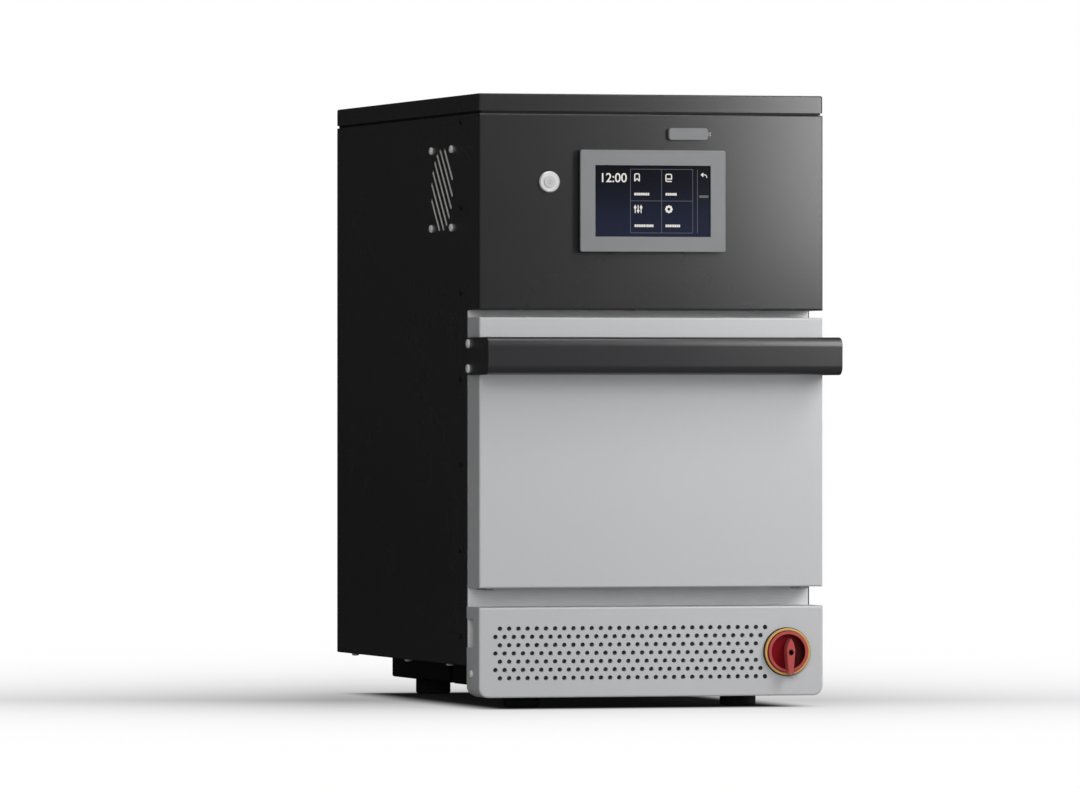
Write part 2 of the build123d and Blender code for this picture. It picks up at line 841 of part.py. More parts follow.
with BuildPart() as power_button:
    with BuildSketch(button_plane.offset(button_ring_reach + button_cap_reach)):
        Circle(button_cap_radius)
    extrude(amount=-(button_ring_reach + button_cap_reach + button_bore_depth - 2 * button_travel))
    fillet(power_button.faces().sort_by(Axis.Y)[0].edges(), button_cap_reach / 2)

power_button.part.label = "power_button"
export_step(power_button.part, "parts/power_button.step")

port_wall = 0.5
port_depth = 15.0
port_tongue = 1.8
port_flange_width = 24.0
port_flange_height = 10.4
port_flange_thickness = 1.2

with BuildPart() as usb_port:
    with BuildSketch(front_plane(0)):
        with Locations((port_x, port_height)):
            Rectangle(port_width, port_shell_height)
    extrude(amount=-port_depth)
    with BuildSketch(front_plane(front_sheet)):
        with Locations((port_x, port_height)):
            Rectangle(port_flange_width, port_flange_height)
    extrude(amount=-port_flange_thickness)
    with BuildSketch(front_plane(0)):
        with Locations((port_x, port_height)):
            Rectangle(port_width - 2 * port_wall, port_shell_height - 2 * port_wall)
        with Locations((port_x, port_height + port_shell_height / 2 - port_wall - port_tongue)):
            Rectangle(port_width - 4 * port_wall - port_tongue, port_tongue, mode=Mode.SUBTRACT)
    extrude(amount=-(port_depth - port_wall), mode=Mode.SUBTRACT)

usb_port.part.label = "usb_port"
export_step(usb_port.part, "parts/usb_port.step")

# The port's cover swings out to the right on a small upright pin.
cover_left_overlap = 21.3
cover_right_overlap = 21.4
cover_left = port_x - cover_left_overlap
cover_right = port_x + cover_right_overlap
cover_height = 12.6
cover_corner = 3.0
cover_thickness = 4.7
cover_gap = 0.3
cover_pin_gap = 2.1
cover_pin_x = cover_right + cover_pin_gap
cover_pin_depth = -2.3
cover_pin_radius = 0.8
cover_running_gap = 0.05
cover_eye_radius = 1.5
cover_eye_height = 2.0
cover_ear_gap = 0.1
cover_ear_thickness = 0.8
cover_axis = Plane(origin=(cover_pin_x, at(cover_pin_depth), port_height))

with BuildPart() as usb_cover:
    with BuildSketch(front_plane(-cover_gap)):
        rectangle(
            cover_left,
            cover_right,
            port_height - cover_height / 2,
            port_height + cover_height / 2,
        )
    extrude(amount=cover_thickness)
    fillet(usb_cover.edges().filter_by(Axis.Y), cover_corner)
    fillet(usb_cover.faces().sort_by(Axis.Y)[0].edges(), cover_corner / 4)
    with BuildSketch(cover_axis.offset(-cover_eye_height / 2)):
        Circle(cover_eye_radius)
        rectangle(cover_right - cover_pin_x - cover_corner / 2, 0, -cover_eye_radius, cover_eye_radius)
    extrude(amount=cover_eye_height)
    with BuildSketch(cover_axis.offset(-cover_eye_height / 2)):
        Circle(cover_pin_radius + cover_running_gap)
    extrude(amount=cover_eye_height, mode=Mode.SUBTRACT)

usb_cover.part.label = "usb_cover"
export_step(usb_cover.part, "parts/usb_cover.step")

cover_ear_low = cover_eye_height / 2 + cover_ear_gap
cover_ear_high = cover_ear_low + cover_ear_thickness
cover_foot = 0.4

with BuildPart() as usb_cover_hinge:
    block(
        (cover_pin_x - cover_eye_radius, cover_pin_x + cover_eye_radius),
        deep(-cover_foot, 0),
        (port_height - cover_ear_high, port_height + cover_ear_high),
    )
    for low in (-cover_ear_high, cover_ear_low):
        with BuildSketch(cover_axis.offset(low)):
            Circle(cover_eye_radius)
            rectangle(-cover_eye_radius, cover_eye_radius, 0, -cover_pin_depth)
        extrude(amount=cover_ear_thickness)
    with BuildSketch(cover_axis.offset(-cover_ear_high)):
        Circle(cover_pin_radius)
    extrude(amount=2 * cover_ear_high)

usb_cover_hinge.part.label = "usb_cover_hinge"
export_step(usb_cover_hinge.part, "parts/usb_cover_hinge.step")

# The mains isolator: a black collar and yellow ring outside, a switch body inside.
isolator_plane = control_plane(isolator_x, isolator_height)
collar_radius = 25.5
collar_reach = 3.5
collar_well_floor = 1.2
knob_gap = 0.4
ring_radius = 24.6
ring_inner_radius = 22.2
ring_reach = 6.0
knob_radius = 21.6
knob_back = collar_well_floor + knob_gap
knob_rim_reach = 8.5
knob_dish_radius = 18.6
knob_dish_floor = 3.4
knob_grip_reach = 18.0
knob_grip_width = 9.0
knob_grip_foot_width = 5.6
knob_grip_tip = 14.0
knob_grip_foot = 23.0
knob_grip_rise = 1.0
knob_eye_radius = 2.6
knob_eye_depth = 6.0
shaft_running_gap = 0.05
shaft_end_gap = 1.0
shaft_depth = 20.0
isolator_body_depth = 42.0
isolator_terminal_width = 8.0
isolator_terminal_pitch = 14.0

with BuildPart() as isolator_collar:
    with BuildSketch(isolator_plane):
        Circle(collar_radius)
    extrude(amount=collar_reach)
    fillet(isolator_collar.faces().sort_by(Axis.Y)[0].edges(), bend_radius / 4)
    with BuildSketch(isolator_plane.offset(collar_reach)):
        Circle(ring_inner_radius)
    extrude(amount=-(collar_reach - collar_well_floor), mode=Mode.SUBTRACT)
    with BuildSketch(isolator_plane):
        Circle(isolator_neck_radius)
    extrude(amount=-front_sheet)
    with BuildSketch(isolator_plane.offset(collar_reach)):
        Circle(isolator_shaft_radius + shaft_running_gap)
    extrude(amount=-(collar_reach + front_sheet), mode=Mode.SUBTRACT)

isolator_collar.part.label = "isolator_collar"
export_step(isolator_collar.part, "parts/isolator_collar.step")

with BuildPart() as isolator_ring:
    with BuildSketch(isolator_plane.offset(collar_reach)):
        Circle(ring_radius)
        Circle(ring_inner_radius, mode=Mode.SUBTRACT)
    extrude(amount=ring_reach - collar_reach)
    chamfer(isolator_ring.faces().sort_by(Axis.Y)[0].edges(), (ring_reach - collar_reach) / 4)

isolator_ring.part.label = "isolator_ring"
export_step(isolator_ring.part, "parts/isolator_ring.step")

with BuildPart() as isolator_knob:
    with BuildSketch(isolator_plane.offset(knob_back)):
        Circle(knob_radius)
    extrude(amount=knob_rim_reach - knob_back)
    fillet(isolator_knob.faces().sort_by(Axis.Y)[0].edges(), bend_radius / 2)
    with BuildSketch(isolator_plane.offset(knob_rim_reach)):
        Circle(knob_dish_radius)
    extrude(amount=-(knob_rim_reach - knob_dish_floor), mode=Mode.SUBTRACT)
    with BuildSketch(isolator_plane.offset(knob_dish_floor)):
        with BuildLine():
            tip = (0, knob_grip_tip)
            right_shoulder = (knob_grip_width / 2, 0)
            left_shoulder = (-knob_grip_width / 2, 0)
            right_foot = (knob_grip_foot_width / 2, -knob_dish_radius)
            left_foot = (-knob_grip_foot_width / 2, -knob_dish_radius)
            TangentArc(right_shoulder, tip, tangent=(0, 1))
            TangentArc(left_shoulder, tip, tangent=(0, 1))
            Line(right_shoulder, right_foot)
            Line(right_foot, left_foot)
            Line(left_foot, left_shoulder)
        make_face()
    extrude(amount=knob_grip_reach - knob_dish_floor)
    with BuildSketch(isolator_plane.offset(ring_reach + knob_grip_rise)):
        rectangle(
            -knob_grip_foot_width / 2,
            knob_grip_foot_width / 2,
            -knob_grip_foot,
            -knob_dish_radius,
        )
    extrude(amount=knob_grip_reach - ring_reach - knob_grip_rise)
    with BuildSketch(isolator_plane.offset(knob_grip_reach)):
        Circle(knob_eye_radius)
    extrude(amount=-knob_eye_depth, mode=Mode.SUBTRACT)
    with BuildSketch(isolator_plane.offset(knob_back)):
        Circle(isolator_shaft_radius)
    extrude(amount=-(knob_back + shaft_depth))

isolator_knob.part.label = "isolator_knob"
export_step(isolator_knob.part, "parts/isolator_knob.step")

with BuildPart() as isolator_body:
    with BuildSketch(isolator_plane.offset(-front_sheet)):
        Rectangle(2 * isolator_body_half, 2 * isolator_body_half)
    extrude(amount=-isolator_body_depth)
    with BuildSketch(isolator_plane.offset(-front_sheet - isolator_body_depth)):
        for row in (-1, 1):
            with Locations((0, row * (isolator_body_half - isolator_terminal_width / 2))):
                with GridLocations(isolator_terminal_pitch, 0, 3, 1):
                    Rectangle(isolator_terminal_width, isolator_terminal_width)
    extrude(amount=isolator_terminal_width, mode=Mode.SUBTRACT)
    with BuildSketch(isolator_plane.offset(-front_sheet)):
        Circle(isolator_shaft_radius + shaft_running_gap)
    extrude(amount=-(shaft_depth - front_sheet + shaft_end_gap), mode=Mode.SUBTRACT)

isolator_body.part.label = "isolator_body"
export_step(isolator_body.part, "parts/isolator_body.step")

# ---------------------------------------------------------------------------
# Door
# ---------------------------------------------------------------------------

door_side_gap = 0.25
door_half = half_width - door_side_gap
door_thickness = 45.4
door_inner_sheet = 1.2
door_flange = 8.0
hinge_sweep_gap = 1.0
hinge_slot_near = hinge_near - hinge_sweep_gap
hinge_slot_far = hinge_far + hinge_sweep_gap
arm_screw_depth = 23.0
arm_screw_spread = 26.1
arm_screw_radius = 2.5
arm_screw_hole_radius = arm_screw_radius + shank_clearance
handle_drop = 40.6
handle_height = door_top - handle_drop
handle_bar_height = 39.5
arm_screw_seats = [(at(arm_screw_depth), handle_height + u * arm_screw_spread / 2) for u in (-1, 1)]

with BuildPart() as door_skin:
    with BuildSketch(front_plane(0)):
        rectangle(-door_half, door_half, door_bottom, door_top)
    extrude(amount=-door_thickness)
    fillet(door_skin.faces().sort_by(Axis.Y)[0].edges(), bend_radius)
    offset(amount=-front_sheet, openings=door_skin.faces().sort_by(Axis.Y)[-1])
    with BuildSketch(side_plane(-door_half)):
        with Locations(*arm_screw_seats):
            Circle(arm_screw_hole_radius)
    extrude(amount=2 * door_half, mode=Mode.SUBTRACT)
    for side in (-1, 1):
        block(
            across(side, hinge_slot_near, hinge_slot_far),
            deep(hinge_depth - hinge_knuckle_radius - hinge_sweep_gap, door_thickness),
            (door_bottom, door_bottom + front_sheet),
            mode=Mode.SUBTRACT,
        )

door_skin.part.label = "door_skin"
export_step(door_skin.part, "parts/door_skin.step")

door_lining_half = door_half - front_sheet
door_lining_low = door_bottom + front_sheet
door_lining_high = door_top - front_sheet
hinge_slot_top = hinge_height + hinge_knuckle_radius + hinge_sweep_gap

with BuildPart() as door_inner_panel:
    with BuildSketch(front_plane(door_thickness)):
        rectangle(-door_lining_half, door_lining_half, door_lining_low, door_lining_high)
    extrude(amount=door_flange)
    offset(amount=-door_inner_sheet, openings=door_inner_panel.faces().sort_by(Axis.Y)[0])
    for side in (-1, 1):
        block(
            across(side, hinge_slot_near, hinge_slot_far),
            deep(door_thickness - door_flange, door_thickness),
            (door_lining_low, hinge_slot_top),
            mode=Mode.SUBTRACT,
        )

door_inner_panel.part.label = "door_inner_panel"
export_step(door_inner_panel.part, "parts/door_inner_panel.step")

door_wool_inset = 27.5
door_wool_half = half_width - door_wool_inset
door_wool_margin = 14.0
door_lining_front = door_thickness - door_inner_sheet

with BuildPart() as door_insulation:
    with BuildSketch(front_plane(front_sheet)):
        rectangle(
            -door_wool_half,
            door_wool_half,
            door_bottom + 2 * door_wool_margin,
            door_top - door_wool_margin,
        )
    extrude(amount=-(door_lining_front - front_sheet))

door_insulation.part.label = "door_insulation"
export_step(door_insulation.part, "parts/door_insulation.step")

# The seal stands on the inner panel around the cavity's opening and stops short of the frame.
seal_overlap = 20.0
seal_inset = 4.0
seal_gap = 0.6
seal_radius = 1.5

with BuildPart() as door_seal:
    with BuildSketch(front_plane(door_thickness)):
        rectangle(
            -cavity_half - seal_overlap,
            cavity_half + seal_overlap,
            cavity_bottom - seal_overlap,
            cavity_top + seal_overlap,
        )
        rectangle(
            -cavity_half + seal_inset,
            cavity_half - seal_inset,
            cavity_bottom + seal_inset,
            cavity_top - seal_inset,
            mode=Mode.SUBTRACT,
        )
    extrude(amount=-(front_depth - door_thickness - seal_gap))
    fillet(door_seal.faces().sort_by(Axis.Y)[-1].edges(), seal_radius)

door_seal.part.label = "door_seal"
export_step(door_seal.part, "parts/door_seal.step")

bar_thickness = 20.0
bar_front_radius = 9.5
bar_back_radius = 3.0
bar_wall = 2.5
arm_thickness = 5.3
arm_back_depth = 31.0
arm_back_radius = 2.0
arm_edge = 1.2
handle_low = handle_height - handle_bar_height / 2
handle_high = handle_height + handle_bar_height / 2

with BuildPart() as handle_bar:
    with BuildSketch(side_plane(-door_half)):
        with BuildSketch() as bar_section:
            rectangle(at(-handle_reach), at(-handle_reach + bar_thickness), handle_low, handle_high)
            fillet(bar_section.vertices().group_by(Axis.X)[0], bar_front_radius)
            fillet(bar_section.vertices().group_by(Axis.X)[-1], bar_back_radius)
        offset(bar_section.sketch, amount=-bar_wall, mode=Mode.SUBTRACT)
    extrude(amount=2 * door_half)

handle_bar.part.label = "handle_bar"
export_step(handle_bar.part, "parts/handle_bar.step")

with BuildPart() as handle_arms:
    for side in (-1, 1):
        with BuildSketch(side_plane(side * door_half)):
            with BuildSketch() as arm_outline:
                rectangle(at(-handle_reach), at(arm_back_depth), handle_low, handle_high)
                fillet(arm_outline.vertices().group_by(Axis.X)[0], bar_front_radius)
                fillet(arm_outline.vertices().group_by(Axis.X)[-1], arm_back_radius)
                with Locations(*arm_screw_seats):
                    Circle(arm_screw_hole_radius, mode=Mode.SUBTRACT)
        extrude(amount=side * arm_thickness)
    for index in (0, -1):
        outer_face = handle_arms.faces().filter_by(Axis.X).sort_by(Axis.X)[index]
        fillet(outer_face.outer_wire().edges(), arm_edge)

handle_arms.part.label = "handle_arms"
export_step(handle_arms.part, "parts/handle_arms.step")

arm_screw_head_radius = 4.7
arm_screw_head_height = 2.5
arm_screw_grip = 5.0
arm_screw_length = arm_thickness + front_sheet + arm_screw_grip
arm_screw = screw_blank(
    arm_screw_head_radius, arm_screw_head_height, arm_screw_radius, arm_screw_length
)
arm_seats = [
    seat_facing(side * (door_half + arm_thickness), y, z, (side, 0, 0))
    for side in (-1, 1)
    for y, z in arm_screw_seats
]

with BuildPart() as handle_screws:
    with Locations(*arm_seats):
        add(arm_screw)

handle_screws.part.label = "handle_screws"
export_step(handle_screws.part, "parts/handle_screws.step")

# Hinges: a clevis with its pin stands in each lower corner of the door and turns on a fixed
# bracket.
clevis_sheet = 3.0
clevis_gap = 0.5
clevis_height = 45.0
clevis_ear_gap = 1.0
clevis_ear_depth = door_thickness - door_flange - clevis_ear_gap
clevis_ear_rise = 12.0
pin_overhang = 1.0
hinge_near_ear = (hinge_near - clevis_gap - clevis_sheet, hinge_near - clevis_gap)
hinge_far_ear = (hinge_far + clevis_gap, hinge_far + clevis_gap + clevis_sheet)

with BuildPart() as door_hinges:
    for side in (-1, 1):
        block(
            across(side, hinge_near_ear[0], hinge_far_ear[1]),
            deep(front_sheet, front_sheet + clevis_sheet),
            (door_lining_low + clevis_gap, door_lining_low + clevis_height),
        )
        for ear in (hinge_near_ear, hinge_far_ear):
            block(
                across(side, *ear),
                deep(front_sheet, clevis_ear_depth),
                (door_lining_low + clevis_gap, hinge_height + clevis_ear_rise),
            )
        pin = across(side, hinge_near_ear[0] - pin_overhang, hinge_far_ear[1] + pin_overhang)
        with BuildSketch(side_plane(pin[0])):
            with Locations((at(hinge_depth), hinge_height)):
                Circle(hinge_pin_radius)
        extrude(amount=pin[1] - pin[0])

door_hinges.part.label = "door_hinges"
export_step(door_hinges.part, "parts/door_hinges.step")

bracket_foot_thickness = 5.0
bracket_foot_half = 7.6
bracket_foot_reach = 21.0

with BuildPart() as hinge_brackets:
    for side in (-1, 1):
        arm = across(side, hinge_near, hinge_far)
        with BuildSketch(side_plane(arm[0])):
            rectangle(
                at(hinge_depth),
                at(frame_back + bracket_foot_thickness),
                hinge_height - hinge_knuckle_radius,
                hinge_height + hinge_knuckle_radius,
            )
            with Locations((at(hinge_depth), hinge_height)):
                Circle(hinge_knuckle_radius)
                Circle(hinge_pin_radius + hinge_running_gap, mode=Mode.SUBTRACT)
        extrude(amount=hinge_thickness)
        block(
            across(side, hinge_middle - bracket_foot_half, hinge_middle + bracket_foot_half),
            deep(frame_back, frame_back + bracket_foot_thickness),
            (hinge_height - bracket_foot_reach, hinge_height + bracket_foot_reach),
        )

hinge_brackets.part.label = "hinge_brackets"
export_step(hinge_brackets.part, "parts/hinge_brackets.step")

# Interlock hooks on the door reach through the frame and press the two door switches.
hook_foot_width = 16.0
hook_foot_thickness = 3.0
hook_foot_height = 18.0
switch_width = 21.0
switch_depth = 26.0
switch_gap = 2.0
switch_margin = 4.0
switch_low = hook_low - switch_margin
switch_height = hook_height + 2 * switch_margin

with BuildPart() as door_hooks:
    for side in (-1, 1):
        block(
            across(side, hook_middle - hook_thickness / 2, hook_middle + hook_thickness / 2),
            deep(door_thickness, hook_reach),
            (hook_low, hook_low + hook_height),
        )
        hook_height_middle = hook_low + hook_height / 2
        block(
            across(side, hook_middle - hook_foot_width / 2, hook_middle + hook_foot_width / 2),
            deep(door_thickness, door_thickness + hook_foot_thickness),
            (hook_height_middle - hook_foot_height / 2, hook_height_middle + hook_foot_height / 2),
        )

door_hooks.part.label = "door_hooks"
export_step(door_hooks.part, "parts/door_hooks.step")

with BuildPart() as door_switches:
    for side in (-1, 1):
        block(
            across(side, inner_half - sheet - switch_width, inner_half - sheet),
            deep(hook_reach + switch_gap, hook_reach + switch_gap + switch_depth),
            (switch_low, switch_low + switch_height),
        )

door_switches.part.label = "door_switches"
export_step(door_switches.part, "parts/door_switches.step")

# ---------------------------------------------------------------------------
# Cavity and hot-air system
# ---------------------------------------------------------------------------

cavity_sheet = 1.2
cavity_back_depth = 403.0
cavity_shell_half = cavity_half + cavity_sheet
well_x = 0.0
well_depth = 205.0
well_radius = 75.0
well_drop = 12.0
coupling_radius = 20.0
shaft_hole_radius = 8.0
heater_leg_radius = 4.0
heater_ring_radius = 84.0
vent_hole_side = 20.0
duct_setback = 20.0
duct_depth = cavity_back_depth - duct_setback

with BuildPart() as cavity:
    block(
        (-cavity_shell_half, cavity_shell_half),
        deep(frame_back, cavity_back_depth + cavity_sheet),
        (cavity_bottom - cavity_sheet, cavity_top + cavity_sheet),
    )
    with BuildSketch(Plane.XY.offset(cavity_bottom - well_drop - cavity_sheet)):
        with Locations((well_x, at(well_depth))):
            Circle(well_radius + cavity_sheet)
    extrude(amount=well_drop)
    block(
        (-cavity_half, cavity_half),
        deep(frame_back, cavity_back_depth),
        (cavity_bottom, cavity_top),
        mode=Mode.SUBTRACT,
    )
    with BuildSketch(Plane.XY.offset(cavity_bottom - well_drop)):
        with Locations((well_x, at(well_depth))):
            Circle(well_radius)
    extrude(amount=well_drop, mode=Mode.SUBTRACT)
    with BuildSketch(Plane.XY.offset(cavity_bottom - well_drop - cavity_sheet)):
        with Locations((well_x, at(well_depth))):
            Circle(coupling_radius)
    extrude(amount=cavity_sheet, mode=Mode.SUBTRACT)
    with BuildSketch(front_plane(cavity_back_depth)):
        with Locations((0, cavity_middle)):
            Circle(shaft_hole_radius)
        with Locations(*[(side * heater_ring_radius, cavity_middle) for side in (-1, 1)]):
            Circle(heater_leg_radius + shank_clearance)
    extrude(amount=-cavity_sheet, mode=Mode.SUBTRACT)
    with BuildSketch(Plane.XY.offset(cavity_top)):
        with Locations((duct_x, at(duct_depth))):
            Rectangle(vent_hole_side, vent_hole_side)
    extrude(amount=cavity_sheet, mode=Mode.SUBTRACT)

cavity.part.label = "cavity"
export_step(cavity.part, "parts/cavity.step")

# Insulation: a sleeve around the cavity and a slab behind it, cut for what passes through.
wool_front_gap = 8.8
side_wool = 24.8
bottom_wool = 32.0
wool_start = frame_back + wool_front_gap
wool_half = cavity_shell_half + side_wool
wool_bottom = cavity_bottom - bottom_wool
wool_slab = 26.0
wool_clearance = 2.0
wool_back = cavity_back_depth + cavity_sheet
guide_half = 40.0
guide_height = 34.0
guide_nose = 55.0
guide_tail = 35.0
antenna_setback = 67.0
antenna_depth = cavity_back_depth + antenna_setback
guide_reach = (well_depth - guide_nose, antenna_depth + guide_tail)
guide_top = cavity_bottom - well_drop - cavity_sheet
guide_bottom = guide_top - guide_height
motor_shaft_hole = 15.0
motor_post_radius = 5.0
motor_post_spread = 70.0

with BuildPart() as cavity_insulation:
    block((-wool_half, wool_half), deep(wool_start, wool_back), (wool_bottom, insulation_top))
    block(
        (-cavity_shell_half, cavity_shell_half),
        deep(wool_start, wool_back),
        (cavity_bottom - cavity_sheet, cavity_top + cavity_sheet),
        mode=Mode.SUBTRACT,
    )
    block(
        (-guide_half - wool_clearance, guide_half + wool_clearance),
        deep(guide_reach[0] - wool_clearance, wool_back),
        (wool_bottom, cavity_bottom),
        mode=Mode.SUBTRACT,
    )
    with BuildSketch(Plane.XY.offset(wool_bottom)):
        with Locations((well_x, at(well_depth))):
            Circle(well_radius + cavity_sheet + wool_clearance)
    extrude(amount=cavity_bottom - wool_bottom, mode=Mode.SUBTRACT)
    block(
        (duct_x - duct_width / 2, duct_x + duct_width / 2),
        deep(duct_depth - duct_width / 2, duct_depth + duct_width / 2),
        (cavity_top, insulation_top),
        mode=Mode.SUBTRACT,
    )
    block(
        (-wool_half, wool_half),
        deep(wool_back, wool_back + wool_slab),
        (wool_bottom, insulation_top),
    )
    block(
        (-guide_half - wool_clearance, guide_half + wool_clearance),
        deep(wool_back, wool_back + wool_slab),
        (wool_bottom, cavity_bottom),
        mode=Mode.SUBTRACT,
    )
    with BuildSketch(front_plane(wool_back)):
        with Locations((0, cavity_middle)):
            Circle(motor_shaft_hole)
            with GridLocations(motor_post_spread, motor_post_spread, 2, 2):
                Circle(motor_post_radius + shank_clearance)
        with Locations(*[(side * heater_ring_radius, cavity_middle) for side in (-1, 1)]):
            Circle(heater_leg_radius + wool_clearance)
    extrude(amount=-wool_slab, mode=Mode.SUBTRACT)

cavity_insulation.part.label = "cavity_insulation"
export_step(cavity_insulation.part, "parts/cavity_insulation.step")

# The baffle closes off the fan chamber: air goes in at its middle and out through its edges.
fan_chamber_depth = 51.0
baffle_depth = cavity_back_depth - fan_chamber_depth
baffle_rim = 12.0
intake_radius = 48.0
catalyst_radius = 55.0
catalyst_depth = 14.0
catalyst_hole = 6.5
catalyst_pitch = 8.5
outlet_slot = (40.0, 7.0)
outlet_pitch = 52.0
outlet_columns = 5
outlet_inset = 16.0
side_outlet_count = 3
side_outlet_pitch = 44.0

with BuildPart() as air_baffle:
    block(
        (-cavity_half, cavity_half),
        deep(baffle_depth, baffle_depth + baffle_rim),
        (cavity_bottom, cavity_top),
    )
    offset(amount=-cavity_sheet, openings=air_baffle.faces().sort_by(Axis.Y)[-1])
    with BuildSketch(front_plane(baffle_depth)):
        with Locations((0, cavity_middle)):
            Circle(intake_radius)
            row_spread = cavity_height - 2 * outlet_inset
            column_spread = 2 * (cavity_half - outlet_inset)
            with GridLocations(outlet_pitch, row_spread, outlet_columns, 2):
                SlotOverall(*outlet_slot)
            with GridLocations(column_spread, side_outlet_pitch, 2, side_outlet_count):
                SlotOverall(*outlet_slot, rotation=90)
    extrude(amount=-cavity_sheet, mode=Mode.SUBTRACT)

air_baffle.part.label = "air_baffle"
export_step(air_baffle.part, "parts/air_baffle.step")

cell_count = int(intake_radius // catalyst_pitch)
cell_places = [
    (column * catalyst_pitch, row * catalyst_pitch)
    for column in range(-cell_count, cell_count + 1)
    for row in range(-cell_count, cell_count + 1)
    if math.hypot(column, row) * catalyst_pitch < intake_radius - catalyst_hole / 2
]

with BuildPart() as catalytic_converter:
    with BuildSketch(front_plane(baffle_depth + cavity_sheet)):
        with Locations((0, cavity_middle)):
            Circle(catalyst_radius)
            with Locations(*cell_places):
                Rectangle(catalyst_hole, catalyst_hole, mode=Mode.SUBTRACT)
    extrude(amount=-catalyst_depth)

catalytic_converter.part.label = "catalytic_converter"
export_step(catalytic_converter.part, "parts/catalytic_converter.step")

plate_thickness = 5.0
plate_side_gap = 1.5
plate_front_gap = 3.0
plate_rear_gap = 2.0
plate_reach = (frame_back + plate_front_gap, baffle_depth - plate_rear_gap)
plate_radius = 12.0
plate_top = cavity_bottom + plate_thickness

with BuildPart() as ceramic_plate:
    with BuildSketch(Plane.XY.offset(cavity_bottom)):
        rectangle(
            -cavity_half + plate_side_gap,
            cavity_half - plate_side_gap,
            at(plate_reach[0]),
            at(plate_reach[1]),
        )
    extrude(amount=plate_thickness)
    fillet(ceramic_plate.edges().filter_by(Axis.Z), plate_radius)

ceramic_plate.part.label = "ceramic_plate"
export_step(ceramic_plate.part, "parts/ceramic_plate.step")

rack_wire = 2.5
rack_side_gap = 13.0
rack_front_gap = 18.8
rack_rear_gap = 17.0
rack_half = cavity_half - rack_side_gap
rack_reach = (frame_back + rack_front_gap, baffle_depth - rack_rear_gap)
rack_corner = 12.0
rack_foot_radius = 2.2
rack_foot_inset = 30.0
rack_rod_radius = 1.6
rack_rod_count = 17
rack_height = 14.0
rack_level = plate_top + rack_height - rack_wire

with BuildPart() as wire_rack:
    rack_middle = at(sum(rack_reach) / 2)
    rack_length = rack_reach[1] - rack_reach[0]
    with BuildLine(Plane.XY.offset(rack_level)) as rim_path:
        FilletPolyline(
            (-rack_half, at(rack_reach[0])),
            (rack_half, at(rack_reach[0])),
            (rack_half, at(rack_reach[1])),
            (-rack_half, at(rack_reach[1])),
            radius=rack_corner,
            close=True,
        )
    with BuildSketch(Plane(origin=rim_path.line @ 0, z_dir=rim_path.line % 0)):
        Circle(rack_wire)
    sweep(path=rim_path.line)
    with BuildSketch(Plane.XY.offset(plate_top)):
        with Locations((0, rack_middle)):
            with GridLocations(2 * rack_half, rack_length - 2 * rack_foot_inset, 2, 2):
                Circle(rack_foot_radius)
    extrude(amount=rack_level - plate_top)
    with BuildSketch(front_plane(rack_reach[0])):
        with Locations((0, rack_level)):
            with GridLocations(2 * rack_half / (rack_rod_count + 1), 0, rack_rod_count, 1):
                Circle(rack_rod_radius)
    extrude(amount=-rack_length)

wire_rack.part.label = "wire_rack"
export_step(wire_rack.part, "parts/wire_rack.step")

impeller_radius = 70.0
impeller_plate = 1.5
impeller_back_gap = 7.5
impeller_plate_depth = cavity_back_depth - impeller_back_gap - impeller_plate
blade_count = 16
blade_depth = 20.0
blade_inner_radius = 42.0
blade_thickness = 1.5
blade_angle = 25.0
hub_radius = 11.0
shaft_radius = 5.0
shaft_nose = 18.0
shaft_engage = 30.0
motor_air_gap = 6.0
motor_plate_depth = wool_back + wool_slab + motor_air_gap
shaft_reach = (impeller_plate_depth - shaft_nose, motor_plate_depth + shaft_engage)

with BuildPart() as convection_impeller:
    fan_plane = front_plane(impeller_plate_depth + impeller_plate)
    with BuildSketch(fan_plane):
        with Locations((0, cavity_middle)):
            Circle(impeller_radius)
    extrude(amount=impeller_plate)
    with BuildSketch(fan_plane):
        with Locations((0, cavity_middle)):
            Circle(hub_radius)
    extrude(amount=impeller_plate + blade_depth / 2)
    blade_length = impeller_radius - blade_inner_radius
    blade_middle = (impeller_radius + blade_inner_radius) / 2
    with BuildSketch(front_plane(impeller_plate_depth)):
        with Locations((0, cavity_middle)):
            with PolarLocations(blade_middle, blade_count):
                Rectangle(blade_length, blade_thickness, rotation=blade_angle)
    extrude(amount=blade_depth)
    with BuildSketch(front_plane(shaft_reach[0])):
        with Locations((0, cavity_middle)):
            Circle(shaft_radius)
    extrude(amount=-(shaft_reach[1] - shaft_reach[0]))

convection_impeller.part.label = "convection_impeller"
export_step(convection_impeller.part, "parts/convection_impeller.step")

heater_turn_setbacks = (20.0, 8.0)
heater_turn_depths = [impeller_plate_depth - setback for setback in heater_turn_setbacks]
heater_tail = 12.0
heater_flange_radius = 8.0
heater_flange = 3.0

with BuildPart() as ring_heater:
    for depth in heater_turn_depths:
        with BuildSketch(Plane.XZ.offset(-at(depth))):
            with Locations((0, cavity_middle)):
                Circle(heater_ring_radius + heater_leg_radius)
                Circle(heater_ring_radius - heater_leg_radius, mode=Mode.SUBTRACT)
        extrude(amount=heater_leg_radius, both=True)
    with BuildSketch(front_plane(heater_turn_depths[0])):
        with Locations(*[(side * heater_ring_radius, cavity_middle) for side in (-1, 1)]):
            Circle(heater_leg_radius)
    extrude(amount=-(wool_back + wool_slab + heater_tail - heater_turn_depths[0]))
    with BuildSketch(front_plane(cavity_back_depth)):
        with Locations(*[(side * heater_ring_radius, cavity_middle) for side in (-1, 1)]):
            Circle(heater_flange_radius)
    extrude(amount=heater_flange)

ring_heater.part.label = "ring_heater"
export_step(ring_heater.part, "parts/ring_heater.step")

motor_plate_half = 52.0
motor_plate_thickness = 3.0
motor_radius = 46.0
motor_length = 72.0
motor_body_depth = motor_plate_depth + motor_plate_thickness

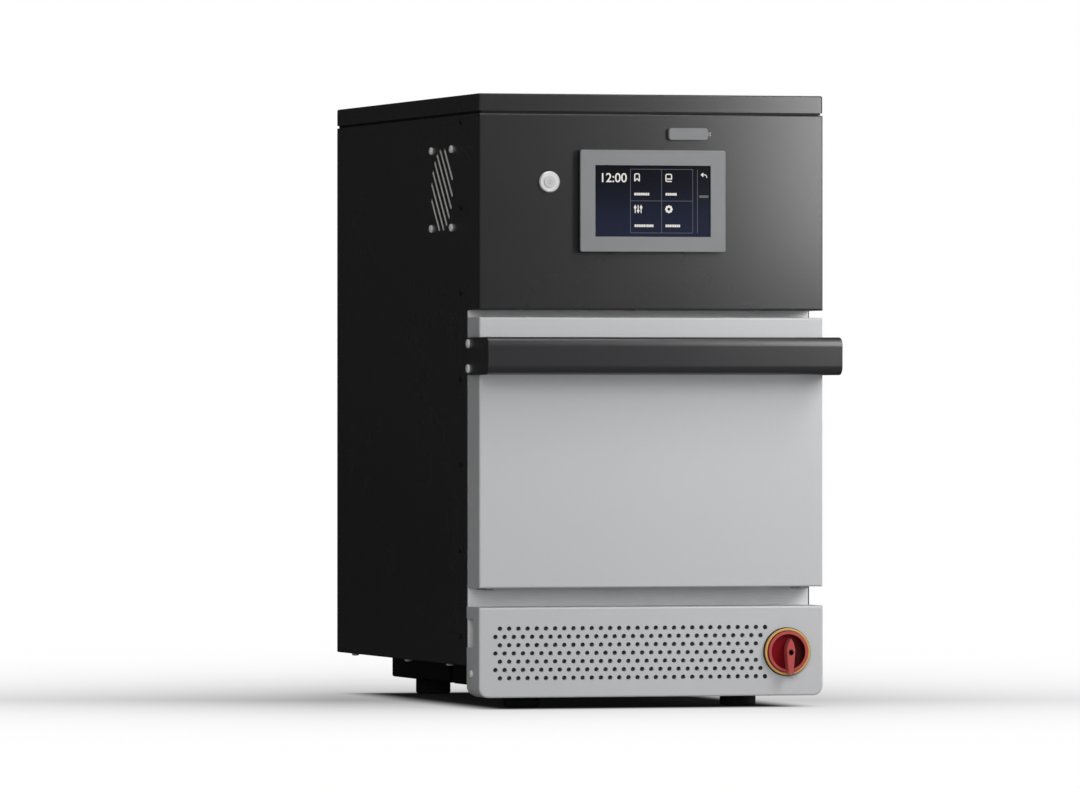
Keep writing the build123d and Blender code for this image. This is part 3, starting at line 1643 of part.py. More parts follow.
with BuildPart() as convection_motor:
    with BuildSketch(front_plane(motor_plate_depth)):
        with Locations((0, cavity_middle)):
            Rectangle(2 * motor_plate_half, 2 * motor_plate_half)
    extrude(amount=-motor_plate_thickness)
    with BuildSketch(front_plane(wool_back)):
        with Locations((0, cavity_middle)):
            with GridLocations(motor_post_spread, motor_post_spread, 2, 2):
                Circle(motor_post_radius)
    extrude(amount=-(motor_plate_depth - wool_back))
    with BuildSketch(front_plane(motor_body_depth)):
        with Locations((0, cavity_middle)):
            Circle(motor_radius)
    extrude(amount=-motor_length)
    with BuildSketch(front_plane(motor_plate_depth)):
        with Locations((0, cavity_middle)):
            Circle(shaft_radius + shaft_running_gap)
    extrude(amount=-(shaft_engage + shaft_end_gap), mode=Mode.SUBTRACT)

convection_motor.part.label = "convection_motor"
export_step(convection_motor.part, "parts/convection_motor.step")

# ---------------------------------------------------------------------------
# Microwave system
# ---------------------------------------------------------------------------

stirrer_shaft_radius = 4.0
stirrer_motor_radius = 24.0
stirrer_motor_height = 20.0
stirrer_plate_radius = 60.0
stirrer_plate = 1.5
stirrer_plate_lift = 5.0
stirrer_slot = (28.0, 9.0)
stirrer_slot_radius = 36.0
stirrer_slot_count = 5
stirrer_engage = 12.0
stirrer_hole_gap = 1.0
stirrer_flange = 2.0
stirrer_lug = (70.0, 14.0)
guide_wall = 1.5
antenna_radius = 8.0
antenna_hole_radius = 11.0
antenna_height = 24.0

with BuildPart() as waveguide:
    block((-guide_half, guide_half), deep(*guide_reach), (guide_bottom, guide_top))
    block(
        (-guide_half + guide_wall, guide_half - guide_wall),
        deep(guide_reach[0] + guide_wall, guide_reach[1] - guide_wall),
        (guide_bottom + guide_wall, guide_top - guide_wall),
        mode=Mode.SUBTRACT,
    )
    with BuildSketch(Plane.XY.offset(guide_top)):
        with Locations((well_x, at(well_depth))):
            Circle(coupling_radius)
    extrude(amount=-guide_wall, mode=Mode.SUBTRACT)
    with BuildSketch(Plane.XY.offset(guide_bottom)):
        with Locations((well_x, at(well_depth))):
            Circle(stirrer_shaft_radius + stirrer_hole_gap)
        with Locations((0, at(antenna_depth))):
            Circle(antenna_hole_radius)
    extrude(amount=guide_wall, mode=Mode.SUBTRACT)

waveguide.part.label = "waveguide"
export_step(waveguide.part, "parts/waveguide.step")

with BuildPart() as stirrer:
    with BuildSketch(Plane.XY.offset(cavity_bottom - well_drop + stirrer_plate_lift)):
        with Locations((well_x, at(well_depth))):
            Circle(stirrer_plate_radius)
            with PolarLocations(stirrer_slot_radius, stirrer_slot_count):
                SlotOverall(*stirrer_slot, mode=Mode.SUBTRACT)
    extrude(amount=stirrer_plate)
    with BuildSketch(Plane.XY.offset(guide_bottom - stirrer_engage)):
        with Locations((well_x, at(well_depth))):
            Circle(stirrer_shaft_radius)
    extrude(amount=cavity_bottom - well_drop + stirrer_plate_lift - guide_bottom + stirrer_engage)

stirrer.part.label = "stirrer"
export_step(stirrer.part, "parts/stirrer.step")

with BuildPart() as stirrer_motor:
    with BuildSketch(Plane.XY.offset(guide_bottom)):
        with Locations((well_x, at(well_depth))):
            Circle(stirrer_motor_radius)
            SlotOverall(*stirrer_lug)
    extrude(amount=-stirrer_flange)
    with BuildSketch(Plane.XY.offset(guide_bottom)):
        with Locations((well_x, at(well_depth))):
            Circle(stirrer_motor_radius)
    extrude(amount=-stirrer_motor_height)
    with BuildSketch(Plane.XY.offset(guide_bottom)):
        with Locations((well_x, at(well_depth))):
            Circle(stirrer_shaft_radius + shaft_running_gap)
    extrude(amount=-(stirrer_engage + shaft_end_gap), mode=Mode.SUBTRACT)

stirrer_motor.part.label = "stirrer_motor"
export_step(stirrer_motor.part, "parts/stirrer_motor.step")

tube_width = 92.0
tube_length = 78.0
tube_height = 56.0
tube_flange = 3.0
tube_fin_count = 7
tube_fin = 1.5
tube_core_radius = 22.0
tube_yoke = 3.0
filter_box_height = 14.0

with BuildPart() as magnetron:
    tube_top = guide_bottom
    tube_low = tube_top - tube_height
    tube_y = deep(antenna_depth - tube_length / 2, antenna_depth + tube_length / 2)
    block((-tube_width / 2, tube_width / 2), tube_y, (tube_top - tube_flange, tube_top))
    block((-tube_width / 2, tube_width / 2), tube_y, (tube_low, tube_low + tube_yoke))
    for side in (-1, 1):
        block(across(side, tube_width / 2 - tube_yoke, tube_width / 2), tube_y, (tube_low, tube_top))
    with BuildSketch(Plane.XY.offset(tube_low)):
        with Locations((0, at(antenna_depth))):
            Circle(tube_core_radius)
    extrude(amount=tube_height)
    fin_pitch = (tube_height - tube_flange - tube_yoke) / (tube_fin_count + 1)
    for index in range(tube_fin_count):
        fin_low = tube_low + tube_yoke + (index + 1) * fin_pitch
        block(
            (-tube_width / 2 + tube_yoke, tube_width / 2 - tube_yoke),
            tube_y,
            (fin_low, fin_low + tube_fin),
        )
    block(
        (-tube_width / 4, tube_width / 4),
        deep(antenna_depth - tube_length / 4, antenna_depth + tube_length / 4),
        (tube_low - filter_box_height, tube_low),
    )
    with BuildSketch(Plane.XY.offset(tube_top)):
        with Locations((0, at(antenna_depth))):
            Circle(antenna_radius)
    extrude(amount=antenna_height)
    fillet(magnetron.faces().sort_by(Axis.Z)[-1].edges(), antenna_radius / 2)

magnetron.part.label = "magnetron"
export_step(magnetron.part, "parts/magnetron.step")

transformer_width = 100.0
transformer_side_gap = 20.3
transformer_left = -inner_half + transformer_side_gap
transformer_x = (transformer_left, transformer_left + transformer_width)
transformer_depths = (110.0, 190.0)
transformer_height = 78.0
transformer_limb = 17.0
coil_overhang = 14.0
coil_gap = 1.0
coil_radius = 8.0

with BuildPart() as hv_transformer:
    core_z = (base_floor, base_floor + transformer_height)
    block(transformer_x, deep(*transformer_depths), core_z)
    window_height = transformer_height - 2 * transformer_limb
    core_middle = sum(transformer_x) / 2
    window_reach = (transformer_limb / 2, transformer_width / 2 - transformer_limb)
    for side in (-1, 1):
        window = across(side, *window_reach)
        block(
            (core_middle + window[0], core_middle + window[1]),
            deep(*transformer_depths),
            (core_z[0] + transformer_limb, core_z[1] - transformer_limb),
            mode=Mode.SUBTRACT,
        )
    with BuildSketch(Plane.XY.offset(core_z[0] + transformer_limb + coil_gap)):
        rectangle(
            transformer_x[0] + transformer_limb + coil_gap,
            transformer_x[1] - transformer_limb - coil_gap,
            at(transformer_depths[0] - coil_overhang),
            at(transformer_depths[1] + coil_overhang),
        )
    extrude(amount=window_height - 2 * coil_gap)
    for index in (0, -1):
        coil_end = hv_transformer.faces().filter_by(Axis.Y).group_by(Axis.Y)[index]
        fillet(coil_end.edges().filter_by(Axis.Z), coil_radius)

hv_transformer.part.label = "hv_transformer"
export_step(hv_transformer.part, "parts/hv_transformer.step")

capacitor_width = 95.0
capacitor_side_gap = 21.3
capacitor_right = inner_half - capacitor_side_gap
capacitor_x = (capacitor_right - capacitor_width, capacitor_right)
capacitor_depths = (120.0, 155.0)
capacitor_height = 55.0
capacitor_radius = 14.0
capacitor_tag_width = 6.0
capacitor_tag_thickness = 1.0
capacitor_tag_height = 12.0

with BuildPart() as hv_capacitor:
    with BuildSketch(Plane.XY.offset(base_floor)):
        rectangle(*capacitor_x, at(capacitor_depths[0]), at(capacitor_depths[1]))
    extrude(amount=capacitor_height)
    fillet(hv_capacitor.edges().filter_by(Axis.Z), capacitor_radius)
    with BuildSketch(Plane.XY.offset(base_floor + capacitor_height)):
        with Locations((sum(capacitor_x) / 2, at(sum(capacitor_depths) / 2))):
            with GridLocations(3 * capacitor_radius, 0, 2, 1):
                Rectangle(capacitor_tag_width, capacitor_tag_thickness)
    extrude(amount=capacitor_tag_height)

hv_capacitor.part.label = "hv_capacitor"
export_step(hv_capacitor.part, "parts/hv_capacitor.step")

# ---------------------------------------------------------------------------
# Upper bay, ducts, fans and mains entry
# ---------------------------------------------------------------------------

shelf_gap = 2.0
shelf_height = duct_top + shelf_gap
shelf_front_gap = 3.0
shelf_reach = (frame_back + frame_return + shelf_front_gap, rear_inside - sheet)
shelf_lip = 10.0

with BuildPart() as electronics_shelf:
    with BuildSketch(Plane.XY.offset(shelf_height)):
        rectangle(-inner_half, inner_half, at(shelf_reach[0]), at(shelf_reach[1]))
    extrude(amount=shelf_lip)
    offset(amount=-sheet, openings=electronics_shelf.faces().sort_by(Axis.Z)[-1])

electronics_shelf.part.label = "electronics_shelf"
export_step(electronics_shelf.part, "parts/electronics_shelf.step")

power_board_x = (-100.0, 100.0)
power_board_depths = (260.0, 410.0)
power_post_height = 10.0
power_post_inset = 6.0
# Across, behind the board's front edge, width, length and height of each component.
power_blocks = (
    (-70.0, 40.0, 40.0, 40.0, 36.0),
    (-10.0, 40.0, 30.0, 28.0, 22.0),
    (40.0, 40.0, 28.0, 26.0, 18.0),
    (75.0, 40.0, 28.0, 26.0, 18.0),
    (-60.0, 110.0, 60.0, 30.0, 30.0),
    (30.0, 115.0, 80.0, 14.0, 14.0),
)

with BuildPart() as power_board:
    post_low = shelf_height + sheet
    board_low = post_low + power_post_height
    block(power_board_x, deep(*power_board_depths), (board_low, board_low + board_thickness))
    with BuildSketch(Plane.XY.offset(post_low)):
        with Locations((sum(power_board_x) / 2, at(sum(power_board_depths) / 2))):
            with GridLocations(
                power_board_x[1] - power_board_x[0] - 2 * power_post_inset,
                power_board_depths[1] - power_board_depths[0] - 2 * power_post_inset,
                2,
                2,
            ):
                Circle(board_post_radius)
    extrude(amount=power_post_height)
    for x, setback, width, length, height in power_blocks:
        depth = power_board_depths[0] + setback
        block(
            (x - width / 2, x + width / 2),
            deep(depth - length / 2, depth + length / 2),
            (board_low + board_thickness, board_low + board_thickness + height),
        )

power_board.part.label = "power_board"
export_step(power_board.part, "parts/power_board.step")

with BuildPart() as exhaust_duct:
    duct_near = duct_depth - duct_width / 2
    duct_far = duct_depth + duct_width / 2
    outer_x = (duct_x - duct_width / 2, duct_x + duct_width / 2)
    inner_x = (outer_x[0] + duct_wall, outer_x[1] - duct_wall)
    block(outer_x, deep(duct_near, duct_far), (cavity_top + cavity_sheet, duct_top))
    block(outer_x, deep(duct_near, rear_inside), (duct_bottom, duct_top))
    block(
        inner_x,
        deep(duct_near + duct_wall, duct_far - duct_wall),
        (cavity_top + cavity_sheet, duct_top - duct_wall),
        mode=Mode.SUBTRACT,
    )
    block(
        inner_x,
        deep(duct_near + duct_wall, rear_inside),
        (duct_bottom + duct_wall, duct_top - duct_wall),
        mode=Mode.SUBTRACT,
    )

exhaust_duct.part.label = "exhaust_duct"
export_step(exhaust_duct.part, "parts/exhaust_duct.step")

# Two equal axial fans: one behind the left grille, one on the rear panel.
fan_hub_radius = 19.0
fan_blade_tip = 42.0
fan_blade_count = 7
fan_blade_thickness = 2.0
fan_blade_pitch = 38.0
fan_blade_length = 17.0
fan_rotor_thickness = 19.0
fan_strut_width = 4.0
fan_hub_plate_thickness = 4.0
fan_corner_radius = 5.0
fan_pin_radius = 2.5
fan_pin_length = 8.0
fan_gap = 0.5
fan_hub_edge = 2.0
fan_root = 1.0


def fan_frame(mouth):
    """A square axial fan frame: its grille side lies on the mouth plane and its body behind it."""
    with BuildPart() as frame:
        with BuildSketch(mouth):
            RectangleRounded(fan_square, fan_square, fan_corner_radius)
            Circle(fan_bore_radius, mode=Mode.SUBTRACT)
            with GridLocations(fan_screw_square, fan_screw_square, 2, 2):
                Circle(pan_hole_radius, mode=Mode.SUBTRACT)
        extrude(amount=-fan_thickness)
        with BuildSketch(mouth.offset(-fan_thickness)):
            Circle(fan_hub_radius)
            with PolarLocations(0, 2, angular_range=180):
                Rectangle(2 * fan_bore_radius + fan_root, fan_strut_width)
        extrude(amount=fan_hub_plate_thickness)
        with BuildSketch(mouth.offset(-fan_thickness + fan_hub_plate_thickness)):
            Circle(fan_pin_radius)
        extrude(amount=fan_pin_length)
    return frame.part


def fan_rotor(mouth):
    """The rotor of an axial fan: a capped hub with twisted blades, turning on the frame's pin."""
    with BuildPart() as rotor:
        back = mouth.offset(-fan_thickness + fan_hub_plate_thickness + fan_gap)
        with BuildSketch(back):
            Circle(fan_hub_radius)
        extrude(amount=fan_rotor_thickness)
        fillet(rotor.faces().sort_by(Axis(mouth.origin, mouth.z_dir))[-1].edges(), fan_hub_edge)
        with Locations(back.offset(fan_rotor_thickness / 2)):
            blade_radius = (fan_hub_radius + fan_blade_tip - fan_root) / 2
            with PolarLocations(blade_radius, fan_blade_count):
                Box(
                    fan_blade_tip - fan_hub_radius + fan_root,
                    fan_blade_length,
                    fan_blade_thickness,
                    rotation=(fan_blade_pitch, 0, 0),
                )
        with BuildSketch(back):
            Circle(fan_pin_radius + shaft_running_gap)
        extrude(amount=fan_pin_length + fan_gap, mode=Mode.SUBTRACT)
    return rotor.part


left_mouth = Plane(
    origin=(-inner_half, at(fan_depth), fan_height), x_dir=(0, -1, 0), z_dir=(-1, 0, 0)
)
rear_mouth = Plane(
    origin=(rear_fan_x, at(rear_inside), rear_fan_height), x_dir=(-1, 0, 0), z_dir=(0, 1, 0)
)

with BuildPart() as fan_frames:
    add(fan_frame(left_mouth))
    add(fan_frame(rear_mouth))

fan_frames.part.label = "fan_frames"
export_step(fan_frames.part, "parts/fan_frames.step")

with BuildPart() as left_fan_rotor:
    add(fan_rotor(left_mouth))

left_fan_rotor.part.label = "left_fan_rotor"
export_step(left_fan_rotor.part, "parts/left_fan_rotor.step")

with BuildPart() as rear_fan_rotor:
    add(fan_rotor(rear_mouth))

rear_fan_rotor.part.label = "rear_fan_rotor"
export_step(rear_fan_rotor.part, "parts/rear_fan_rotor.step")

gland_bore_radius = 6.5
gland_hex_radius = 14.0
gland_hex_thickness = 8.0
gland_dome_radius = 12.0
gland_thread_length = 12.0
gland_nut_thickness = 5.0
gland_plane = Plane(
    origin=(gland_x, at(body_depth), gland_height), x_dir=(-1, 0, 0), z_dir=(0, 1, 0)
)

with BuildPart() as cable_gland:
    with BuildSketch(gland_plane):
        RegularPolygon(gland_hex_radius, 6)
    extrude(amount=gland_hex_thickness)
    with BuildSketch(gland_plane.offset(gland_hex_thickness)):
        Circle(gland_dome_radius)
    extrude(amount=gland_reach - gland_hex_thickness)
    fillet(cable_gland.faces().sort_by(Axis.Y)[-1].edges(), gland_dome_radius / 3)
    with BuildSketch(gland_plane):
        Circle(gland_thread_radius)
    extrude(amount=-gland_thread_length)
    with BuildSketch(gland_plane.offset(-sheet)):
        RegularPolygon(gland_hex_radius, 6)
    extrude(amount=-gland_nut_thickness)
    with BuildSketch(gland_plane.offset(-gland_thread_length)):
        Circle(gland_bore_radius)
    extrude(amount=gland_thread_length + gland_reach, mode=Mode.SUBTRACT)

cable_gland.part.label = "cable_gland"
export_step(cable_gland.part, "parts/cable_gland.step")
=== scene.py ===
"""A compact rapid-cook countertop oven: its finishes, screen graphics, controls and studio.

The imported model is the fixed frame. Lengths are in metres: X runs across the oven, Y from its
front to its rear and Z up. One operator dresses each group of nodes or adds each group of pieces.
"""

import math

import bpy
from bpy.props import FloatProperty, FloatVectorProperty, PointerProperty
from bpy.types import Operator, Panel, PropertyGroup
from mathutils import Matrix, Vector


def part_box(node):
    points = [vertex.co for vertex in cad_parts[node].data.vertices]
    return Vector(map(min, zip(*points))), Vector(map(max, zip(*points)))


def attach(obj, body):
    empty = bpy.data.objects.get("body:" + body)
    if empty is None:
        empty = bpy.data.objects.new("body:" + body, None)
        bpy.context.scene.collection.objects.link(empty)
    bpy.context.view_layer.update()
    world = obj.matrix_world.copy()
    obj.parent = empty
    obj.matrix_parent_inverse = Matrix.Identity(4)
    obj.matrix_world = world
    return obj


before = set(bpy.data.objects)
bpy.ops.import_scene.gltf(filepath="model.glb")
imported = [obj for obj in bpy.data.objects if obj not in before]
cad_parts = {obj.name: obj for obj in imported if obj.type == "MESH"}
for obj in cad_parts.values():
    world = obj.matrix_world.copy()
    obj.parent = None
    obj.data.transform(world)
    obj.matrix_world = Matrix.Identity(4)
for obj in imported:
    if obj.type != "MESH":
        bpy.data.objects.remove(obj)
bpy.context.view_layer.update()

bl_info = {
    "name": "Rapid-cook oven dressing",
    "version": (1, 0, 0),
    "blender": (4, 5, 0),
    "location": "3D View > Sidebar > Oven",
    "description": "Finishes, screen graphics, controls and studio of a countertop oven",
    "category": "Object",
}

MM = 0.001

# The staggered round holes of the lower front panel, which the air filter's sheet repeats
HOLE_PITCH = 9.95 * MM
HOLE_ROW_PITCH = 8.617 * MM
HOLE_RADIUS = 2.6 * MM
FIRST_HOLE_X = -170.2 * MM
MIDDLE_ROW_Z = 59.5 * MM

# The slanting slots in front of the left fan, and the lips along their rear edges
SLOT_CIRCLE = 90.0 * MM
SLOT_MIDDLE_Y = -132.5 * MM
SLOT_MIDDLE_Z = 546.0 * MM
SLOT_PITCH = 12.4 * MM
SLOT_WIDTH = 5.0 * MM
SLOTS_EACH_SIDE = 3
LIP_WIDTH = 0.7 * MM
LIP_DEPTH = 1.6 * MM

# The names of nodes that have their finish
dressed = set()

glass_low, glass_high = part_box("touch_screen")
cap_low, cap_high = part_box("power_button")
knob_low, knob_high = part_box("isolator_knob")


def middle_of(box):
    """The middle of a box, given as its low and high corners."""
    return (box[0] + box[1]) / 2


# Shader building


def maths(operation, swapped=False):
    """A method of Wire that adds one Math node, with its values swapped in a reflected form."""

    def method(self, *others):
        values = (*others, self) if swapped else (self, *others)
        settings = {"operation": operation}
        return self.graph.node("ShaderNodeMath", settings, dict(enumerate(values)))

    return method


class Wire:
    """An output socket of a graph. Arithmetic on it adds Math nodes."""

    def __init__(self, graph, socket):
        self.graph = graph
        self.socket = socket

    __add__ = maths("ADD")
    __radd__ = maths("ADD", swapped=True)
    __sub__ = maths("SUBTRACT")
    __rsub__ = maths("SUBTRACT", swapped=True)
    __mul__ = maths("MULTIPLY")
    __rmul__ = maths("MULTIPLY", swapped=True)
    __truediv__ = maths("DIVIDE")
    __rtruediv__ = maths("DIVIDE", swapped=True)
    __pow__ = maths("POWER")
    __gt__ = maths("GREATER_THAN")
    __lt__ = maths("LESS_THAN")
    __abs__ = maths("ABSOLUTE")
    sine = maths("SINE")
    exponent = maths("EXPONENT")
    fraction = maths("FRACT")
    whole = maths("FLOOR")
    root = maths("SQRT")
    at_least = maths("MAXIMUM")
    at_most = maths("MINIMUM")
    turn_from = maths("ARCTAN2")


class Graph:
    """A node tree and the ways to add nodes to it."""

    def __init__(self, owner):
        owner.use_nodes = True
        self.tree = owner.node_tree
        self.tree.nodes.clear()

    def node(self, kind, settings=None, inputs=None, output=0):
        """A node of this type, with its settings made first and its sockets set or linked."""
        made = self.tree.nodes.new(kind)
        for name, value in (settings or {}).items():
            if name == "stops":
                self.set_stops(made.color_ramp, value)
            else:
                setattr(made, name, value)
        for socket, value in (inputs or {}).items():
            self.join(value, made.inputs[socket])
        return Wire(self, made.outputs[output])

    def set_stops(self, ramp, stops):
        """Sets a ramp's stops, given as (position, colour)."""
        while len(ramp.elements) < len(stops):
            ramp.elements.new(1.0)
        for element, (position, colour) in zip(ramp.elements, stops):
            element.position = position
            element.color = (*colour, 1.0)

    def join(self, value, socket):
        if isinstance(value, Wire):
            self.tree.links.new(value.socket, socket)
        elif socket.type == "RGBA" and len(value) == 3:
            socket.default_value = (*value, 1.0)
        else:
            socket.default_value = value

    def split(self, vector, axis):
        """One coordinate of a vector."""
        return self.node("ShaderNodeSeparateXYZ", inputs={0: vector}, output=axis)

    def contrast(self, value, low, high, to_low=0.0, to_high=1.0):
        """Eases values between low and high over to_low to to_high, and holds the rest."""
        inputs = {"Value": value, "From Min": low, "From Max": high}
        inputs.update({"To Min": to_low, "To Max": to_high})
        return self.node("ShaderNodeMapRange", {"interpolation_type": "SMOOTHSTEP"}, inputs)

    def ray(self, kind):
        """1 for rays of this kind and 0 for the rest."""
        return self.node("ShaderNodeLightPath", output=f"Is {kind} Ray")


class Finish(Graph):
    """One procedural material: a Principled shader and the nodes that feed it."""

    def __init__(self, name, gloss=0.5, metallic=0.0):
        self.material = bpy.data.materials.new(name)
        super().__init__(self.material)
        self.output = self.tree.nodes.new("ShaderNodeOutputMaterial")
        self.shader = self.tree.nodes.new("ShaderNodeBsdfPrincipled")
        self.tree.links.new(self.shader.outputs[0], self.output.inputs["Surface"])
        self.place = self.node("ShaderNodeTexCoord", output="Object")
        self.feed("Specular IOR Level", gloss)
        self.feed("Metallic", metallic)

    def feed(self, socket, value):
        """Sets or links one socket of the Principled shader."""
        self.join(value, self.shader.inputs[socket])

    def bump(self, height, depth):
        """Raises the surface by height, 0 to 1, times a depth in metres."""
        inputs = {"Height": height, "Distance": depth, "Strength": 1.0}
        self.feed("Normal", self.node("ShaderNodeBump", inputs=inputs))

    def surface(self, colour, roughness, height, depth):
        """Feeds the colour and the roughness, and raises the surface by height times depth."""
        self.feed("Base Color", colour)
        self.feed("Roughness", roughness)
        self.bump(height, depth)
        return self

    def along(self, axis):
        """The Object coordinate along X, Y or Z."""
        return self.split(self.place, axis)

    def stretched(self, scale, centre=(0, 0, 0), turn=(0, 0, 0)):
        """The Object coordinates turned and scaled, with centre taken to nought."""
        places = {0: self.place, 1: centre}
        moved = self.node("ShaderNodeVectorMath", {"operation": "SUBTRACT"}, places)
        inputs = {"Vector": moved, "Rotation": turn, "Scale": scale}
        return self.node("ShaderNodeMapping", inputs=inputs)

    def length(self, vector):
        """The length of a vector."""
        return self.node("ShaderNodeVectorMath", {"operation": "LENGTH"}, {0: vector}, "Value")

    def noise(self, size, detail=2.0, vector=None):
        """Soft noise about 0.5 with features about this size."""
        inputs = {"Vector": vector or self.place, "Scale": 1 / size, "Detail": detail}
        return self.node("ShaderNodeTexNoise", {"normalize": True}, inputs)

    def cells(self, size, output="Distance", feature="F1"):
        """Cells about this size: the distance to their points, or their own colour."""
        inputs = {"Vector": self.place, "Scale": 1 / size}
        return self.node("ShaderNodeTexVoronoi", {"feature": feature}, inputs, output)

    def speckles(self, size):
        """Cells about this size, each with its own value from 0 to 1."""
        return self.node("ShaderNodeSeparateColor", inputs={0: self.cells(size, "Color")})

    def wave(self, axis, pitch):
        """A smooth wave from 0 to 1 along an axis, with this pitch."""
        return (self.along(axis) * (2 * math.pi / pitch)).sine() * 0.5 + 0.5

    def blend(self, factor, first, second):
        """The first colour where factor is 0 and the second where it is 1."""
        inputs = {0: factor, 6: first, 7: second}
        return self.node("ShaderNodeMix", {"data_type": "RGBA"}, inputs, 2)

    def vary(self, factor, colour, dark, light):
        """A colour between two shades of itself."""
        return self.blend(factor, shade(colour, dark), shade(colour, light))


def grey(value):
    return value, value, value


def shade(colour, amount):
    """A colour made darker or lighter by a factor."""
    return tuple(min(1.0, part * amount) for part in colour)


def dress(finish, *names):
    """Gives CAD nodes this finish."""
    for name in names:
        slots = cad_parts[name].data.materials
        slots.clear()
        slots.append(finish.material)
        dressed.add(name)


# Finishes


def powder_coat(name, colour, roughness, gloss, peel_size, peel_depth):
    """Baked powder on steel: a fine orange peel and faint clouds in shade and gloss."""
    finish = Finish(name, gloss)
    cloud = finish.noise(0.11)
    fine = finish.noise(peel_size / 3, 1.0)
    tone = finish.vary(cloud, colour, 0.94, 1.06)
    base = finish.blend(fine * 0.12, tone, shade(colour, 1.5))
    peel = finish.noise(peel_size, 1.0)
    return finish.surface(base, roughness - 0.015 + cloud * 0.03, peel, peel_depth)


def flake_paint(name, colour, roughness, gloss, peel_size, peel_depth):
    """Silver-grey paint: tiny bright and dull flakes under a satin top coat."""
    finish = Finish(name, gloss)
    flakes = finish.speckles(0.0004)
    cloud = finish.noise(0.16)
    tone = finish.vary(cloud, colour, 0.985, 1.015)
    base = finish.blend(flakes * 0.1, tone, shade(colour, 1.35))
    finish.feed("Metallic", flakes * 0.16)
    peel = finish.noise(peel_size, 1.0)
    return finish.surface(base, roughness - 0.02 + cloud * 0.04, peel, peel_depth)


def rolled_steel(name, colour, roughness, spangle):
    """Zinc-coated sheet: soft crystal patches and a faint rolling grain."""
    finish = Finish(name, metallic=1.0)
    patches = finish.speckles(spangle)
    grain = finish.noise(0.001, 2.0, finish.stretched((0.03, 1.0, 1.0)))
    base = finish.vary(patches, colour, 0.88, 1.08)
    return finish.surface(base, roughness - 0.08 + patches * 0.1 + grain * 0.06, grain, 0.00001)


def brushed_steel(name, colour, tint, roughness, grain_scale, metallic=1.0):
    """Brushed stainless steel with a straw tint where the heat has coloured it."""
    finish = Finish(name, metallic=metallic)
    grain = finish.noise(0.0011, 3.0, finish.stretched(grain_scale))
    heat = finish.contrast(finish.noise(0.09, 3.0), 0.42, 0.72)
    base = finish.blend(heat * 0.55, finish.vary(grain, colour, 0.86, 1.1), tint)
    return finish.surface(base, roughness - 0.06 + grain * 0.14, grain, 0.000012)


def bright_metal(name, colour, roughness, metallic=1.0):
    """Plated or polished metal with hair scratches and faint dull clouds."""
    finish = Finish(name, metallic=metallic)
    drawn = finish.stretched((1.0, 0.12, 1.0), turn=(0.3, 0.5, 0.2))
    scratches = finish.noise(0.0009, 3.0, drawn)
    dull = finish.noise(0.006)
    base = finish.vary(dull, colour, 0.9, 1.06)
    rough = roughness - 0.04 + dull * 0.08 + scratches * 0.05
    return finish.surface(base, rough, scratches, 0.000006)


def moulded_plastic(name, colour, roughness, grain_size, grain_depth):
    """Moulded plastic with a fine spark-eroded grain."""
    finish = Finish(name, gloss=0.4)
    grain = finish.noise(grain_size, 3.0)
    base = finish.vary(finish.noise(0.03), colour, 0.93, 1.07)
    return finish.surface(base, roughness - 0.05 + grain * 0.1, grain, grain_depth)


def cast_metal(name, colour, roughness, metallic=1.0):
    """Die-cast alloy: a pebbled skin with slightly brighter high spots."""
    finish = Finish(name, metallic=metallic)
    pebbles = finish.noise(0.0022, 4.0)
    base = finish.vary(pebbles, colour, 0.75, 1.15)
    return finish.surface(base, roughness + 0.15 - pebbles * 0.2, pebbles, 0.00008)


def rubber(name, colour, depth=0.00003):
    """Moulded rubber: matt, with a dusty bloom."""
    finish = Finish(name, gloss=0.25)
    bloom = finish.contrast(finish.noise(0.012, 4.0), 0.45, 0.8)
    base = finish.blend(bloom * 0.5, colour, shade(colour, 2.2))
    return finish.surface(base, 0.72 + bloom * 0.15, finish.noise(0.0012), depth)


def ceramic_wool(name, colour):
    """Pressed mineral wool: tangled fibres in two directions, with darker binder spots."""
    finish = Finish(name, gloss=0.1)
    along = finish.noise(0.0016, 4.0, finish.stretched((0.12, 1.0, 1.0), turn=(0.0, 0.0, 0.4)))
    crossing = finish.noise(0.0016, 4.0, finish.stretched((1.0, 1.0, 0.12), turn=(0.4, 0.0, 0.0)))
    fibres = along.at_least(crossing)
    spots = finish.contrast(finish.noise(0.02, 3.0), 0.5, 0.75)
    wool = finish.blend(fibres, shade(colour, 0.62), colour)
    base = finish.blend(spots * 0.35, wool, shade(colour, 0.6))
    return finish.surface(base, 0.95, fibres, 0.0006)


def fired_clay(name, colour, speck):
    """Unglazed fired ceramic: pores, fine specks and a faint cooking stain."""
    finish = Finish(name, gloss=0.25)
    specks = finish.contrast(finish.noise(0.0015), 0.66, 0.74)
    stain = finish.contrast(finish.noise(0.07, 4.0), 0.5, 0.8)
    clay = finish.blend(stain * 0.4, colour, shade(colour, 0.72))
    base = finish.blend(specks, clay, speck)
    return finish.surface(base, 0.78 + stain * 0.1, finish.cells(0.0022), 0.00012)


